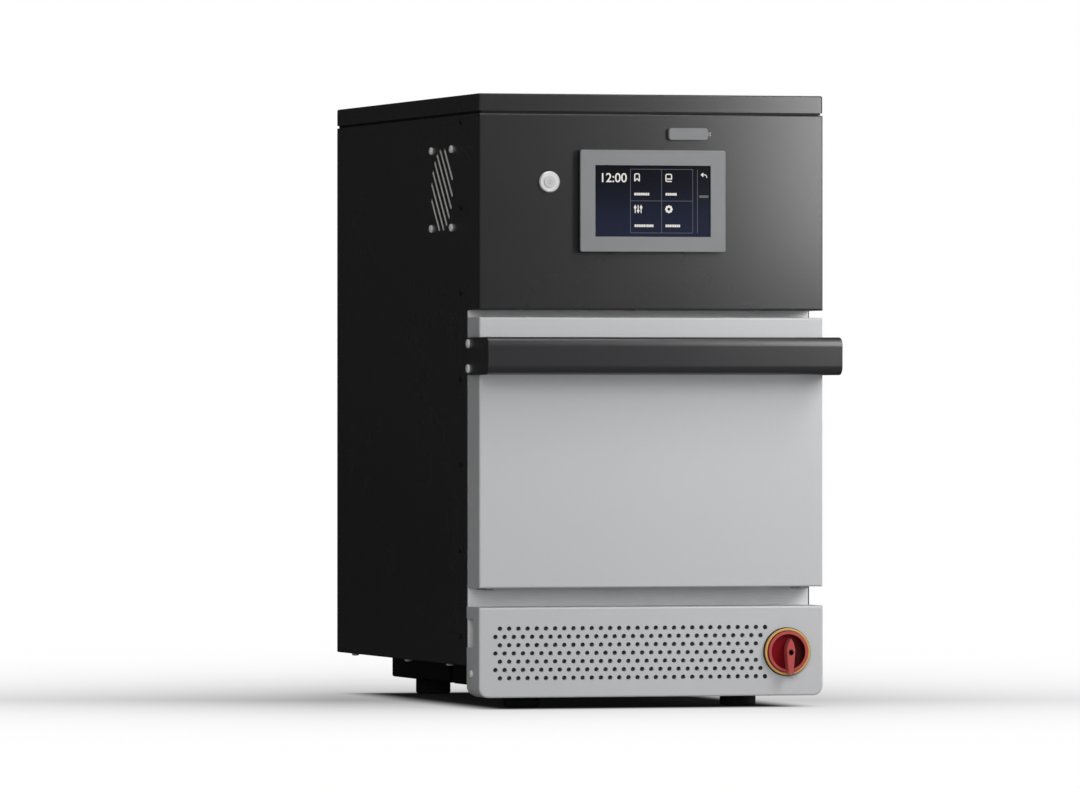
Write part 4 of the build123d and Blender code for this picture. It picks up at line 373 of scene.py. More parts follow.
def perforated_sheet(name, colour):
    """A filter's cover sheet: staggered round holes, at the front panel's pitch, over dark mesh
    whose gaps are painted near-black shade.
    """
    finish = Finish(name)
    rows = (finish.along("Z") - MIDDLE_ROW_Z) / HOLE_ROW_PITCH
    row = (rows + 0.5).whole()
    up = (rows - row) * HOLE_ROW_PITCH
    stagger = (row * 0.5).fraction()
    columns = (finish.along("X") - FIRST_HOLE_X) / HOLE_PITCH + stagger
    aside = ((columns + 0.5).fraction() - 0.5) * HOLE_PITCH
    reach = (up * up + aside * aside).root()
    solid = finish.contrast(reach, HOLE_RADIUS, HOLE_RADIUS + 0.2 * MM)
    threads = finish.wave("X", 1.1 * MM) * finish.wave("Z", 1.1 * MM)
    # Dark grey wires, with painted shade near black in the gaps between them.
    mesh = finish.blend(threads, grey(0.004), grey(0.06))
    grain = finish.noise(0.003, 3.0)
    sheet = finish.vary(grain, colour, 0.85, 1.15)
    finish.feed("Metallic", solid * 0.4)
    base = finish.blend(solid, mesh, sheet)
    return finish.surface(base, 0.55 - grain * 0.1, solid * 0.7 + threads * 0.3, 0.0004)


def circuit_board(name, board_low, board_high, axis, chips):
    """A green board with tracks between two faces, dark parts above it and brass posts below."""
    finish = Finish(name)
    place = finish.along(axis)
    tracks = finish.cells(0.006, "Distance", "DISTANCE_TO_EDGE")
    copper = 1.0 - finish.contrast(tracks, 0.03, 0.09)
    pads = 1.0 - finish.contrast(finish.cells(0.0045), 0.16, 0.24)
    mask = finish.blend(finish.noise(0.02), (0.012, 0.11, 0.045), (0.018, 0.15, 0.06))
    traced = finish.blend(copper * 0.5, mask, (0.05, 0.26, 0.11))
    green = finish.blend(pads, traced, (0.55, 0.55, 0.5))
    above = place > board_high
    below = place < board_low
    grain = finish.noise(0.003, 3.0)
    part = finish.vary(grain, chips, 0.7, 1.3)
    base = finish.blend(below, finish.blend(above, green, part), (0.55, 0.42, 0.16))
    finish.feed("Metallic", below)
    rough = 0.42 + above * 0.12 - copper * 0.06
    return finish.surface(base, rough, grain * above + copper * 0.4, 0.00004)


# Modelling helpers


def start_clean():
    """Leaves edit mode and deselects everything, the CAD nodes included."""
    if bpy.context.object and bpy.context.object.mode != "OBJECT":
        bpy.ops.object.mode_set(mode="OBJECT")
    bpy.ops.object.select_all(action="DESELECT")


def close_shape(name):
    """Leaves edit mode with the normals outwards and puts the place into the mesh."""
    bpy.ops.mesh.select_all(action="SELECT")
    bpy.ops.mesh.remove_doubles(threshold=0.000001)
    bpy.ops.mesh.normals_make_consistent(inside=False)
    bpy.ops.object.mode_set(mode="OBJECT")
    bpy.ops.object.transform_apply()
    shape = bpy.context.object
    shape.name = name
    return shape


def upright_plate(x, z, width, height, back, thickness, corner=0.0):
    """A thin plate standing on the upright surface y = back, with its face to the front."""
    start_clean()
    bpy.ops.mesh.primitive_plane_add(size=1, location=(x, back, z), rotation=(math.pi / 2, 0, 0))
    bpy.ops.object.mode_set(mode="EDIT")
    bpy.ops.transform.resize(value=(width, 1, height))
    if corner:
        bpy.ops.mesh.bevel(offset=corner, segments=4, affect="VERTICES")
    bpy.ops.mesh.extrude_region_move(TRANSFORM_OT_translate={"value": (0, -thickness, 0)})
    return close_shape("plate")


def upright_arc(x, z, radius, width, start, sweep, back, thickness):
    """A flat arc on the surface y = back: start and sweep are angles up from +X."""
    start_clean()
    bpy.ops.mesh.primitive_plane_add(size=1, location=(0, 0, 0))
    corners = bpy.context.object.data.vertices
    spoke = Vector((math.cos(start), 0, math.sin(start)))
    centre = Vector((x, back, z))
    for corner, (outwards, forwards) in zip(corners, ((-1, 0), (1, 0), (-1, 1), (1, 1))):
        reach = radius + outwards * width / 2
        corner.co = centre + spoke * reach - Vector((0, thickness * forwards, 0))
    bpy.ops.object.mode_set(mode="EDIT")
    bpy.ops.mesh.select_all(action="SELECT")
    bpy.ops.mesh.spin(steps=32, angle=sweep, center=centre, axis=(0, 1, 0))
    return close_shape("arc")


def upright_disc(x, z, radius, back, thickness):
    """A round plate on the surface y = back."""
    start_clean()
    flat = {"location": (x, back, z), "rotation": (math.pi / 2, 0, 0)}
    bpy.ops.mesh.primitive_circle_add(vertices=24, radius=radius, fill_type="NGON", **flat)
    bpy.ops.object.mode_set(mode="EDIT")
    bpy.ops.mesh.extrude_region_move(TRANSFORM_OT_translate={"value": (0, -thickness, 0)})
    return close_shape("disc")


def gather(name, shapes, finish, body):
    """Joins shapes into one piece that rides on a body and has one finish and one slot."""
    start_clean()
    for shape in shapes:
        shape.select_set(True)
    bpy.context.view_layer.objects.active = shapes[0]
    if len(shapes) > 1:
        bpy.ops.object.join()
    piece = bpy.context.view_layer.objects.active
    piece.name = name
    piece.data.name = name
    piece.data.materials.clear()
    piece.data.materials.append(finish.material)
    bpy.ops.object.shade_smooth_by_angle(angle=math.radians(35))
    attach(piece, body)
    return piece


# Settings


def colour_setting(name, description, default):
    return FloatVectorProperty(
        name=name, description=description, default=default, size=3, min=0, max=1, subtype="COLOR"
    )


def setting(name, description, default, **kind):
    return FloatProperty(name=name, description=description, default=default, **kind)


def length_setting(name, description, default):
    return setting(name, description, default, min=0, unit="LENGTH")


def power_setting(name, light, default):
    return setting(name, f"Power of the {light}, in watts", default, min=0)


class OvenColours(PropertyGroup):
    """Colours of the oven's outer finishes."""

    casing: colour_setting("Casing", "Coat of lid, fascia, sides and rear", (0.0165, 0.0166, 0.017))
    front: colour_setting("Front", "Paint of the door and the lower panel", (0.5, 0.505, 0.515))
    handle: colour_setting("Handle", "Coat of the handle bar and its arms", (0.022, 0.022, 0.024))
    bezel: colour_setting("Bezel", "Plastic around the screen", (0.195, 0.198, 0.203))
    cover: colour_setting("Port cover", "Plastic of the port's cover", (0.18, 0.183, 0.187))
    knob: colour_setting("Knob", "Plastic of the isolator knob", (0.42, 0.075, 0.07))
    ring: colour_setting("Ring", "Plastic ring behind the isolator knob", (0.62, 0.36, 0.11))
    peel_size: length_setting("Peel size", "Width of the coat's ripples", 1.3 * MM)
    peel_depth: length_setting("Peel depth", "Height of the coat's ripples", 0.0012 * MM)


class OvenScreen(PropertyGroup):
    """Sizes and colours of what the screen shows."""

    width: length_setting("Width", "Width of the picture", 125.0 * MM)
    height: length_setting("Height", "Height of the picture", 74.7 * MM)
    line: length_setting("Line", "Width of the lines between the tiles", 0.45 * MM)
    stroke: length_setting("Stroke", "Width of an icon's strokes", 1.15 * MM)
    relief: length_setting("Relief", "Thickness of the drawn marks on the glass", 0.06 * MM)
    top: colour_setting("Top", "Colour at the top of the picture", (0.004, 0.0045, 0.0075))
    bottom: colour_setting("Bottom", "Colour at the foot of the picture", (0.013, 0.0165, 0.036))
    mark: colour_setting("Marks", "Colour of the icons and bars", (0.82, 0.8, 0.74))
    rule: colour_setting("Rules", "Colour of the lines between the tiles", (0.13, 0.135, 0.16))


class OvenButton(PropertyGroup):
    """The symbol on the power button."""

    radius: length_setting("Radius", "Radius of the symbol's arc", 2.1 * MM)
    stroke: length_setting("Stroke", "Width of the symbol's strokes", 0.5 * MM)
    relief: length_setting("Relief", "Height of the symbol", 0.08 * MM)
    opening: setting("Opening", "Angle left open in the arc", math.radians(70), subtype="ANGLE")


class OvenStudio(PropertyGroup):
    """Light, floor and camera."""

    key_power: power_setting("Key", "near light on the right", 6.0)
    front_power: power_setting("Front", "wide light in front", 97.0)
    top_power: power_setting("Top", "light overhead", 6.0)
    edge_power: power_setting("Edge", "light over the front", 6.0)
    side_power: power_setting("Side", "light on the right", 4.0)
    room: setting("Room", "Light from all around", 0.2)
    mirrored: setting("Mirrored", "Brightness of the room in reflections", 0.12)
    floor_reach: length_setting("Floor reach", "Half the floor's side", 40.0)
    shade_left: setting("Left shade", "Shade of the floor on the left", 0.62)
    shade_right: setting("Right shade", "Shade of the floor on the right", 0.41)
    turn: setting("Turn", "Turn about the vertical", math.radians(-15.489), subtype="ANGLE")
    lens: setting("Lens", "Focal length in millimetres", 314.28)
    sensor: setting("Sensor", "Width of the camera's sensor in millimetres", 36.0)
    place: FloatVectorProperty(
        name="Camera",
        description="Camera's place",
        default=(-2.74978, -9.76785, 0.32948),
        size=3,
        unit="LENGTH",
    )


# Operators: finishes of the CAD nodes


class OVEN_OT_finish_casing(Operator):
    """Coats the lid, the fascia, the sides, the rear and the plinths black"""

    bl_idname = "oven.finish_casing"
    bl_label = "Finish the casing"

    def execute(self, context):
        colours = context.scene.oven_colours
        peel = colours.peel_size, colours.peel_depth
        coat = powder_coat("black_powder_coat", colours.casing, 0.27, 1.0, *peel)
        dress(coat, "top_cover", "control_fascia", "left_side_panel", "right_side_panel")
        dress(coat, "rear_panel")
        plain = powder_coat("black_paint", grey(0.008), 0.5, 0.3, 0.002, 0.00001)
        dress(plain, "plinths", "small_casing_screws", "roof_tray")
        dress(rubber("rubber_foot", grey(0.014)), "feet")
        return {"FINISHED"}


class OVEN_OT_finish_front(Operator):
    """Paints the door and the lower panel, and coats the handle"""

    bl_idname = "oven.finish_front"
    bl_label = "Finish the front"

    def execute(self, context):
        colours = context.scene.oven_colours
        peel = colours.peel_size, colours.peel_depth
        paint = flake_paint("silver_paint", colours.front, 0.42, 0.3, *peel)
        dress(paint, "door_skin", "lower_front_panel")
        grip = powder_coat("handle_grey", colours.handle, 0.3, 0.9, 0.0009, 0.000006)
        dress(grip, "handle_bar", "handle_arms")
        plated = bright_metal("plated_screw", (0.72, 0.72, 0.7), 0.4, metallic=0.25)
        dress(plated, "handle_screws", "pan_head_screws")
        return {"FINISHED"}


class OVEN_OT_finish_structure(Operator):
    """Gives the inner sheet metal, brackets, hinges and ducts their bare steel"""

    bl_idname = "oven.finish_structure"
    bl_label = "Finish the structure"

    def execute(self, context):
        steel = rolled_steel("bare_steel", (0.56, 0.57, 0.58), 0.42, 0.011)
        dress(steel, "base_chassis", "lower_panel_brackets", "electronics_shelf", "exhaust_duct")
        dress(steel, "hinge_brackets", "door_hinges", "door_hooks")
        satin = (0.82, 0.82, 0.83)
        sheet = brushed_steel("frame_steel", satin, satin, 0.46, (0.06, 1.0, 1.0), 0.2)
        dress(sheet, "front_frame")
        return {"FINISHED"}


class OVEN_OT_finish_oven(Operator):
    """Finishes what stands in the heat: cavity, baffle, rack, plate, heater, fan and wool"""

    bl_idname = "oven.finish_oven"
    bl_label = "Finish the oven cavity"

    def execute(self, context):
        straw = (0.52, 0.4, 0.24)
        steel = brushed_steel("cavity_steel", (0.6, 0.6, 0.59), straw, 0.34, (0.06, 1.0, 1.0))
        dress(steel, "cavity", "door_inner_panel", "air_baffle", "stirrer", "waveguide")
        dress(bright_metal("rack_steel", (0.62, 0.6, 0.56), 0.24), "wire_rack")
        blades = brushed_steel("impeller_steel", (0.5, 0.5, 0.49), straw, 0.4, (1.0, 1.0, 0.1))
        dress(blades, "convection_impeller")
        dress(fired_clay("cordierite", (0.62, 0.54, 0.42), (0.2, 0.14, 0.09)), "ceramic_plate")
        wool = ceramic_wool("ceramic_wool", (0.8, 0.77, 0.68))
        dress(wool, "cavity_insulation", "door_insulation")
        self.dress_catalyst()
        self.dress_heater()
        dress(rubber("silicone", (0.2, 0.2, 0.21), 0.00002), "door_seal")
        return {"FINISHED"}

    def dress_catalyst(self):
        """A washcoated honeycomb, darker towards the middle where the air runs fastest."""
        centre = middle_of(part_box("catalytic_converter"))
        finish = Finish("catalyst", gloss=0.2)
        wash = finish.noise(0.0012, 4.0)
        reach = finish.length(finish.stretched((1.0, 0.0, 1.0), centre))
        soot = 1.0 - finish.contrast(reach + wash * 0.01, 0.01, 0.05)
        clean = finish.blend(wash, (0.2, 0.16, 0.12), (0.34, 0.28, 0.2))
        base = finish.blend(soot * 0.6, clean, (0.07, 0.06, 0.05))
        finish.surface(base, 0.85, wash, 0.0001)
        dress(finish, "catalytic_converter")

    def dress_heater(self):
        """An oxidised sheath with bluish and brown heat colours."""
        finish = Finish("heater_sheath", metallic=0.8)
        patches = finish.noise(0.02, 3.0)
        sheath = [(0.3, (0.09, 0.075, 0.065)), (0.5, (0.15, 0.11, 0.08)), (0.7, (0.1, 0.11, 0.14))]
        base = finish.node("ShaderNodeValToRGB", {"stops": sheath}, {0: patches})
        finish.surface(base, 0.45 + patches * 0.25, finish.noise(0.0008, 3.0), 0.00002)
        dress(finish, "ring_heater")


class OVEN_OT_finish_controls(Operator):
    """Finishes the screen, the bezel, the button, the port and the isolator"""

    bl_idname = "oven.finish_controls"
    bl_label = "Finish the controls"

    def execute(self, context):
        colours = context.scene.oven_colours
        self.dress_bezel(colours.bezel)
        self.dress_knob(colours.knob)
        self.dress_screen(context.scene.oven_screen)
        self.dress_board()
        cover = moulded_plastic("port_cover_plastic", colours.cover, 0.5, 0.0005, 0.000008)
        dress(cover, "usb_cover")
        black = moulded_plastic("black_plastic", grey(0.012), 0.45, 0.0007, 0.00001)
        dress(black, "isolator_collar", "isolator_body", "door_switches")
        yellow = moulded_plastic("isolator_yellow", colours.ring, 0.38, 0.0006, 0.000006)
        dress(yellow, "isolator_ring")
        plated = bright_metal("button_ring", grey(0.85), 0.34, metallic=0.55)
        dress(plated, "power_button_bezel")
        cap = moulded_plastic("button_cap", (0.5, 0.5, 0.495), 0.55, 0.0005, 0.000006)
        dress(cap, "power_button")
        dress(bright_metal("port_metal", grey(0.6), 0.3), "usb_port", "usb_cover_hinge")
        return {"FINISHED"}

    def dress_bezel(self, colour):
        """Grey plastic in front, with painted shade on its sides: near black behind the front face.
        """
        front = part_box("display_bezel")[0].y
        face_depth, side_shade_depth = 1.6 * MM, 2.4 * MM
        finish = Finish("grey_plastic", gloss=0.4)
        behind = finish.along("Y") - front
        # Painted shade: the side walls fade to near black from just behind the front face.
        painted_side_shade = finish.contrast(behind, face_depth, side_shade_depth)
        grain = finish.noise(0.0005, 3.0)
        face = finish.vary(finish.noise(0.03), colour, 0.95, 1.05)
        base = finish.blend(painted_side_shade, face, grey(0.006))
        finish.surface(base, 0.45 + grain * 0.1, grain, 0.000008)
        dress(finish, "display_bezel")

    def dress_knob(self, colour):
        """Red plastic with painted shade in its hollow, darker with depth and from left to right;
        the rim and the grip keep the plain red.
        """
        finish = Finish("isolator_red", gloss=0.2)
        rim_depth, dish_depth = 9.0 * MM, 14.0 * MM
        # Painted shade: surfaces sunk deeper than the rim take the dark red of the hollow.
        clear_of_dish_shade = finish.contrast(finish.along("Y") - knob_low.y, dish_depth, rim_depth)
        across = finish.contrast(finish.along("X"), knob_low.x, knob_high.x)
        # The hollow's painted shade runs from dark red on the left to near black on the right.
        painted_dish_shade = finish.blend(across, (0.2, 0.003, 0.008), (0.02, 0.001, 0.001))
        reach = finish.length(finish.stretched((1.0, 0.0, 1.0), middle_of((knob_low, knob_high))))
        socket = finish.contrast(reach, 2.6 * MM, 2.9 * MM)
        grain = finish.noise(0.0006, 3.0)
        red_with_dish_shade = finish.blend(clear_of_dish_shade, painted_dish_shade, finish.vary(grain, colour, 0.92, 1.08))
        base = finish.blend(socket, (0.01, 0.002, 0.002), red_with_dish_shade)
        finish.surface(base, 0.34 + grain * 0.1, grain, 0.000006)
        dress(finish, "isolator_knob")

    def dress_screen(self, screen):
        """Dark glass that glows faintly from a navy foot to a near black top."""
        finish = Finish("screen_glass", gloss=0.16)
        foot = middle_of((glass_low, glass_high)).z - screen.height / 2
        rise = (finish.along("Z") - foot) / screen.height
        glow = finish.contrast(rise + finish.noise(0.05) * 0.1, 0.0, 1.0)
        lit = finish.along("Y") < glass_low.y + 0.2 * MM
        picture = finish.blend(glow, screen.bottom, screen.top)
        finish.feed("Emission Strength", 1.0)
        finish.feed("Emission Color", finish.blend(lit, (0, 0, 0), picture))
        finish.feed("Base Color", (0.003, 0.003, 0.004))
        finish.feed("Roughness", 0.16 + finish.noise(0.02, 3.0) * 0.05)
        dress(finish, "touch_screen")

    def dress_board(self):
        """The control board stands upright, with its parts behind it."""
        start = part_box("control_board")[0].y
        front, rear = start + 18.0 * MM, start + 19.8 * MM
        board = circuit_board("control_circuit", front, rear, "Y", (0.02, 0.02, 0.022))
        dress(board, "control_board")


class OVEN_OT_finish_power(Operator):
    """Finishes the motors, the microwave parts, the fans, the filter and the gland"""

    bl_idname = "oven.finish_power"
    bl_label = "Finish the power parts"

    def execute(self, context):
        cast = cast_metal("cast_part", (0.42, 0.42, 0.43), 0.45)
        dress(cast, "convection_motor", "stirrer_motor")
        alloy = cast_metal("fan_aluminium", (0.85, 0.84, 0.82), 0.38, 0.3)
        dress(alloy, "fan_frames", "left_fan_rotor", "rear_fan_rotor")
        dress(perforated_sheet("filter_mesh", (0.42, 0.42, 0.43)), "air_filter")
        dress(bright_metal("capacitor_can", (0.58, 0.58, 0.57), 0.32), "hv_capacitor")
        self.dress_magnetron()
        self.dress_transformer()
        self.dress_gland()
        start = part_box("power_board")[0].z
        foot, top = start + 10.0 * MM, start + 11.7 * MM
        board = circuit_board("power_circuit", foot, top, "Z", (0.05, 0.055, 0.07))
        dress(board, "power_board")
        return {"FINISHED"}

    def dress_magnetron(self):
        """Pressed steel yoke and bright fins, with a copper tone on the core."""
        centre = middle_of(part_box("magnetron"))
        core_radius = 22.5 * MM
        finish = Finish("magnetron_metal", metallic=1.0)
        core = finish.length(finish.stretched((1.0, 1.0, 0.0), centre)) < core_radius
        grain = finish.noise(0.0014, 3.0)
        sheet = finish.blend(grain, grey(0.5), grey(0.68))
        base = finish.blend(core * 0.8, sheet, (0.6, 0.3, 0.16))
        finish.surface(base, 0.36 + grain * 0.14, grain, 0.00002)
        dress(finish, "magnetron")

    def dress_transformer(self):
        """Stacked laminations for the core and wound copper for the coils that stand out."""
        low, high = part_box("hv_transformer")
        stand_out = 14.0 * MM
        half_core = (high.y - low.y) / 2 - stand_out
        finish = Finish("transformer_core")
        aside = abs(finish.along("Y") - middle_of((low, high)).y)
        coil = aside > half_core + 0.1 * MM
        sheets = finish.wave("Y", 0.9 * MM)
        turns = finish.wave("Z", 1.3 * MM)
        dark = finish.blend(sheets, (0.05, 0.05, 0.055), (0.17, 0.17, 0.18))
        copper = finish.blend(turns, (0.16, 0.05, 0.018), (0.62, 0.25, 0.1))
        finish.feed("Metallic", 0.5 + coil * 0.4)
        relief = finish.blend(coil, sheets, turns)
        finish.surface(finish.blend(coil, dark, copper), 0.55 - coil * 0.2, relief, 0.0002)
        dress(finish, "hv_transformer")

    def dress_gland(self):
        """Black nylon with ribs moulded around its nut and dome."""
        centre = middle_of(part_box("cable_gland"))
        rib_count = 24.0
        finish = Finish("gland_nylon", gloss=0.4)
        spread = finish.stretched((1.0, 0.0, 1.0), centre)
        angle = finish.split(spread, "Z").turn_from(finish.split(spread, "X"))
        ribs = finish.contrast((angle * rib_count).sine() * 0.5 + 0.5, 0.2, 0.6)
        grain = finish.noise(0.0008)
        base = finish.blend(ribs * 0.4, (0.012, 0.012, 0.013), (0.03, 0.03, 0.032))
        finish.surface(base, 0.45 + grain * 0.12, ribs + grain * 0.1, 0.00025)
        dress(finish, "cable_gland")


# Operators: new pieces


class OVEN_OT_draw_screen(Operator):
    """Draws the tiles, icons, bars and clock on the glass"""

    bl_idname = "oven.draw_screen"
    bl_label = "Draw the screen"

    def execute(self, context):
        self.screen = context.scene.oven_screen
        middle = middle_of((glass_low, glass_high))
        self.left = middle.x - self.screen.width / 2
        self.top = middle.z + self.screen.height / 2
        self.draw_rules()
        self.draw_marks()
        self.draw_clock()
        return {"FINISHED"}

    def spot(self, across, down):
        """The x and z of a point given in millimetres from the picture's top left corner."""
        return self.left + across * MM, self.top - down * MM

    def bar(self, left, top, right, bottom, corner=0.0):
        """A flat bar between two corners of the picture, in millimetres."""
        x, z = self.spot((left + right) / 2, (top + bottom) / 2)
        width, height = (right - left) * MM, (bottom - top) * MM
        return upright_plate(x, z, width, height, glass_low.y, self.screen.relief, corner * MM)

    def arc(self, across, down, radius, start, sweep, stroke=None):
        x, z = self.spot(across, down)
        width = stroke or self.screen.stroke
        relief = self.screen.relief
        return upright_arc(x, z, radius * MM, width, start, sweep, glass_low.y, relief)

    def glow(self, name, colour):
        """A finish that shines evenly, with the faint grid of the display's pixels."""
        finish = Finish(name, gloss=0.1)
        columns, rows = (finish.wave(axis, 0.3 * MM) for axis in "XZ")
        pixels = columns.at_least(rows)
        finish.feed("Emission Strength", 1.0)
        finish.feed("Emission Color", finish.blend(pixels, shade(colour, 0.8), colour))
        finish.feed("Base Color", grey(0.01))
        finish.feed("Roughness", 0.4)
        return finish

    def draw_rules(self):
        """The frame around the four tiles, the lines between them and the side rule."""
        half = self.screen.line / MM / 2
        left, right, top, bottom = 38.4, 106.3, 4.0, 70.6
        shapes = []
        for across in (left, (left + right) / 2, right, 111.4):
            shapes.append(self.bar(across - half, top, across + half, bottom))
        for down in (top, (top + bottom) / 2 - 0.2, bottom):
            shapes.append(self.bar(left, down - half, right, down + half))
        rule = self.glow("screen_rule", self.screen.rule)
        gather("screen_rules", shapes, rule, "casing")

    def draw_marks(self):
        """A bookmark, a book, three sliders, a cog, a return arrow and the bars under them."""
        shapes = self.bookmark() + self.book() + self.sliders() + self.cog() + self.return_arrow()
        for left, top, widths in (
            (42.6, 28.7, (2.3, 1.6, 1.7, 1.6, 1.8, 1.5, 1.6, 1.7)),
            (76.7, 28.7, (2.0, 1.6, 1.7, 1.5, 1.7, 1.8)),
            (42.9, 61.8, (2.0, 1.5, 1.6, 1.6, 1.5, 1.8, 0.6, 1.6, 1.7, 1.5, 1.6)),
            (76.7, 61.8, (2.0, 1.6, 1.7, 1.5, 1.6, 1.7, 1.6, 1.6)),
        ):
            shapes.extend(self.dashes(left, top, widths))
        mark = self.glow("screen_mark", self.screen.mark)
        gather("screen_marks", shapes, mark, "casing")
        faint = self.glow("screen_faint", shade(self.screen.mark, 0.16))
        hint = [self.bar(113.3, 31.0, 123.6, 33.6, 0.9)]
        gather("screen_hint", hint, faint, "casing")

    def dashes(self, left, top, widths, height=2.7, gap=0.35):
        """A row of short upright blocks in the place of a line of writing."""
        blocks = []
        for width in widths:
            blocks.append(self.bar(left, top, left + width, top + height, 0.4))
            left += width + gap
        return blocks

    def cover(self, left, top, right, left_foot, right_foot):
        """The round-cornered top and two sides that the bookmark and the book share."""
        stroke = self.screen.stroke / MM
        corner = 2.0
        inner = corner - stroke / 2
        return [
            self.bar(left, top + corner, left + stroke, left_foot),
            self.bar(right - stroke, top + corner, right, right_foot),
            self.bar(left + corner, top, right - corner, top + stroke),
            self.arc(left + corner, top + corner, inner, math.pi / 2, math.pi / 2),
            self.arc(right - corner, top + corner, inner, 0.0, math.pi / 2),
        ]

    def bookmark(self):
        half = self.screen.stroke / MM / 2
        left, right, top, bottom = 42.5, 48.7, 8.3, 16.6
        notch = (left + right) / 2, bottom - 2.7
        return self.cover(left, top, right, bottom, bottom) + [
            self.slant(left + half, bottom - 0.3, *notch),
            self.slant(right - half, bottom - 0.3, *notch),
        ]

    def slant(self, from_across, from_down, to_across, to_down):
        """A stroke between two points of the picture."""
        x0, z0 = self.spot(from_across, from_down)
        x1, z1 = self.spot(to_across, to_down)
        length = math.hypot(x1 - x0, z1 - z0) + self.screen.stroke * 0.6
        width, relief = self.screen.stroke, self.screen.relief
        stroke = upright_plate(0, 0, length, width, 0, relief, width / 4)
        stroke.rotation_euler = (0, -math.atan2(z1 - z0, x1 - x0), 0)
        stroke.location = ((x0 + x1) / 2, glass_low.y, (z0 + z1) / 2)
        bpy.ops.object.transform_apply()
        return stroke

    def book(self):
        stroke = self.screen.stroke / MM
        left, right, top, bottom = 76.5, 83.8, 8.6, 17.2
        corner = 2.0
        spine = bottom - 2.6
        return self.cover(left, top, right, bottom - corner, spine) + [
            self.bar(left + corner, bottom - stroke, right - 0.4, bottom, 0.3),
            self.bar(left + 1.4, spine - stroke, right, spine),
            self.arc(left + corner, bottom - corner, corner - stroke / 2, math.pi, math.pi / 2),
        ]

    def sliders(self):
        shapes = []
        for across, knob_down in ((43.6, 44.0), (46.8, 47.6), (50.0, 44.0)):
            shapes.append(self.bar(across - 0.5, 41.4, across + 0.5, 49.9, 0.4))
            x, z = self.spot(across, knob_down)
            shapes.append(upright_disc(x, z, 1.45 * MM, glass_low.y, self.screen.relief))
        return shapes

    def cog(self):
        across, down = 80.3, 45.7
        shapes = [self.arc(across, down, 2.7, 0.0, 2 * math.pi, 2.2 * MM)]
        for tooth in range(8):
            angle = tooth * math.pi / 4
            ends = []
            for reach in (3.4, 3.9):
                ends += [across + reach * math.cos(angle), down - reach * math.sin(angle)]
            shapes.append(self.slant(*ends))
        return shapes

    def return_arrow(self):
        return [
            self.slant(115.8, 9.5, 117.6, 7.9),
            self.slant(115.8, 9.5, 117.6, 11.1),
            self.bar(116.2, 9.05, 119.5, 9.95),
            self.arc(119.5, 11.5, 2.0, 0.0, math.pi / 2, 0.9 * MM),
            self.bar(121.05, 11.5, 121.95, 12.6),
        ]

    def draw_clock(self):
        """Plain digits in the upper left corner."""
        start_clean()
        x, z = self.spot(4.8, 17.6)
        bpy.ops.object.text_add(rotation=(math.pi / 2, 0, 0))
        clock = bpy.context.object
        clock.data.body = "12:00"
        clock.data.size = 13.5 * MM
        clock.data.extrude = self.screen.relief / 2
        clock.data.offset = 0.12 * MM
        bpy.ops.object.convert(target="MESH")
        clock = bpy.context.object
        clock.location = (x, glass_low.y - self.screen.relief / 2, z)
        bpy.ops.object.transform_apply()
        bpy.ops.object.mode_set(mode="EDIT")
        clock = close_shape("screen_clock")
        mark = self.glow("screen_clock", self.screen.mark)
        gather("screen_clock", [clock], mark, "casing")


class OVEN_OT_mark_button(Operator):
    """Raises the power symbol on the button's cap"""

    bl_idname = "oven.mark_button"
    bl_label = "Mark the power button"

    def execute(self, context):
        button = context.scene.oven_button
        centre = middle_of((cap_low, cap_high))
        face = cap_low.y, button.relief
        start = math.pi / 2 + button.opening / 2
        sweep = 2 * math.pi - button.opening
        arc = upright_arc(centre.x, centre.z, button.radius, button.stroke, start, sweep, *face)
        height = button.radius * 1.3
        stem_z = centre.z + button.radius * 0.75
        stem = upright_plate(centre.x, stem_z, button.stroke, height, *face, button.stroke / 4)
        finish = moulded_plastic("symbol_grey", (0.2, 0.2, 0.205), 0.5, 0.0004, 0.000004)
        gather("power_symbol", [arc, stem], finish, "power_button")
        return {"FINISHED"}


class OVEN_OT_seal_filter(Operator):
    """Fits foam around the isolator's body, beside the air filter"""

    bl_idname = "oven.seal_filter"
    bl_label = "Seal the filter"

    def execute(self, context):
        gap = 0.2 * MM
        filter_low, filter_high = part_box("air_filter")
        body_low, body_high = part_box("isolator_body")
        past_body = 9.0 * MM
        left, right, far = filter_high.x + gap, body_low.x - gap, body_low.x + past_body
        if right <= left:
            raise RuntimeError("no room between the filter and the isolator's body")
        depth = filter_high.y - filter_low.y - gap
        strips = []
        for near, end, foot, head in (
            (left, right, filter_low.z, filter_high.z),
            (right, far, filter_low.z, body_low.z - gap),
            (right, far, body_high.z + gap, filter_high.z),
        ):
            middle = ((near + end) / 2, (foot + head) / 2)
            strips.append(upright_plate(*middle, end - near, head - foot, filter_high.y, depth))
        foam = rubber("filter_foam", grey(0.015), 0.0003)
        gather("filter_seal", strips, foam, "casing")
        return {"FINISHED"}


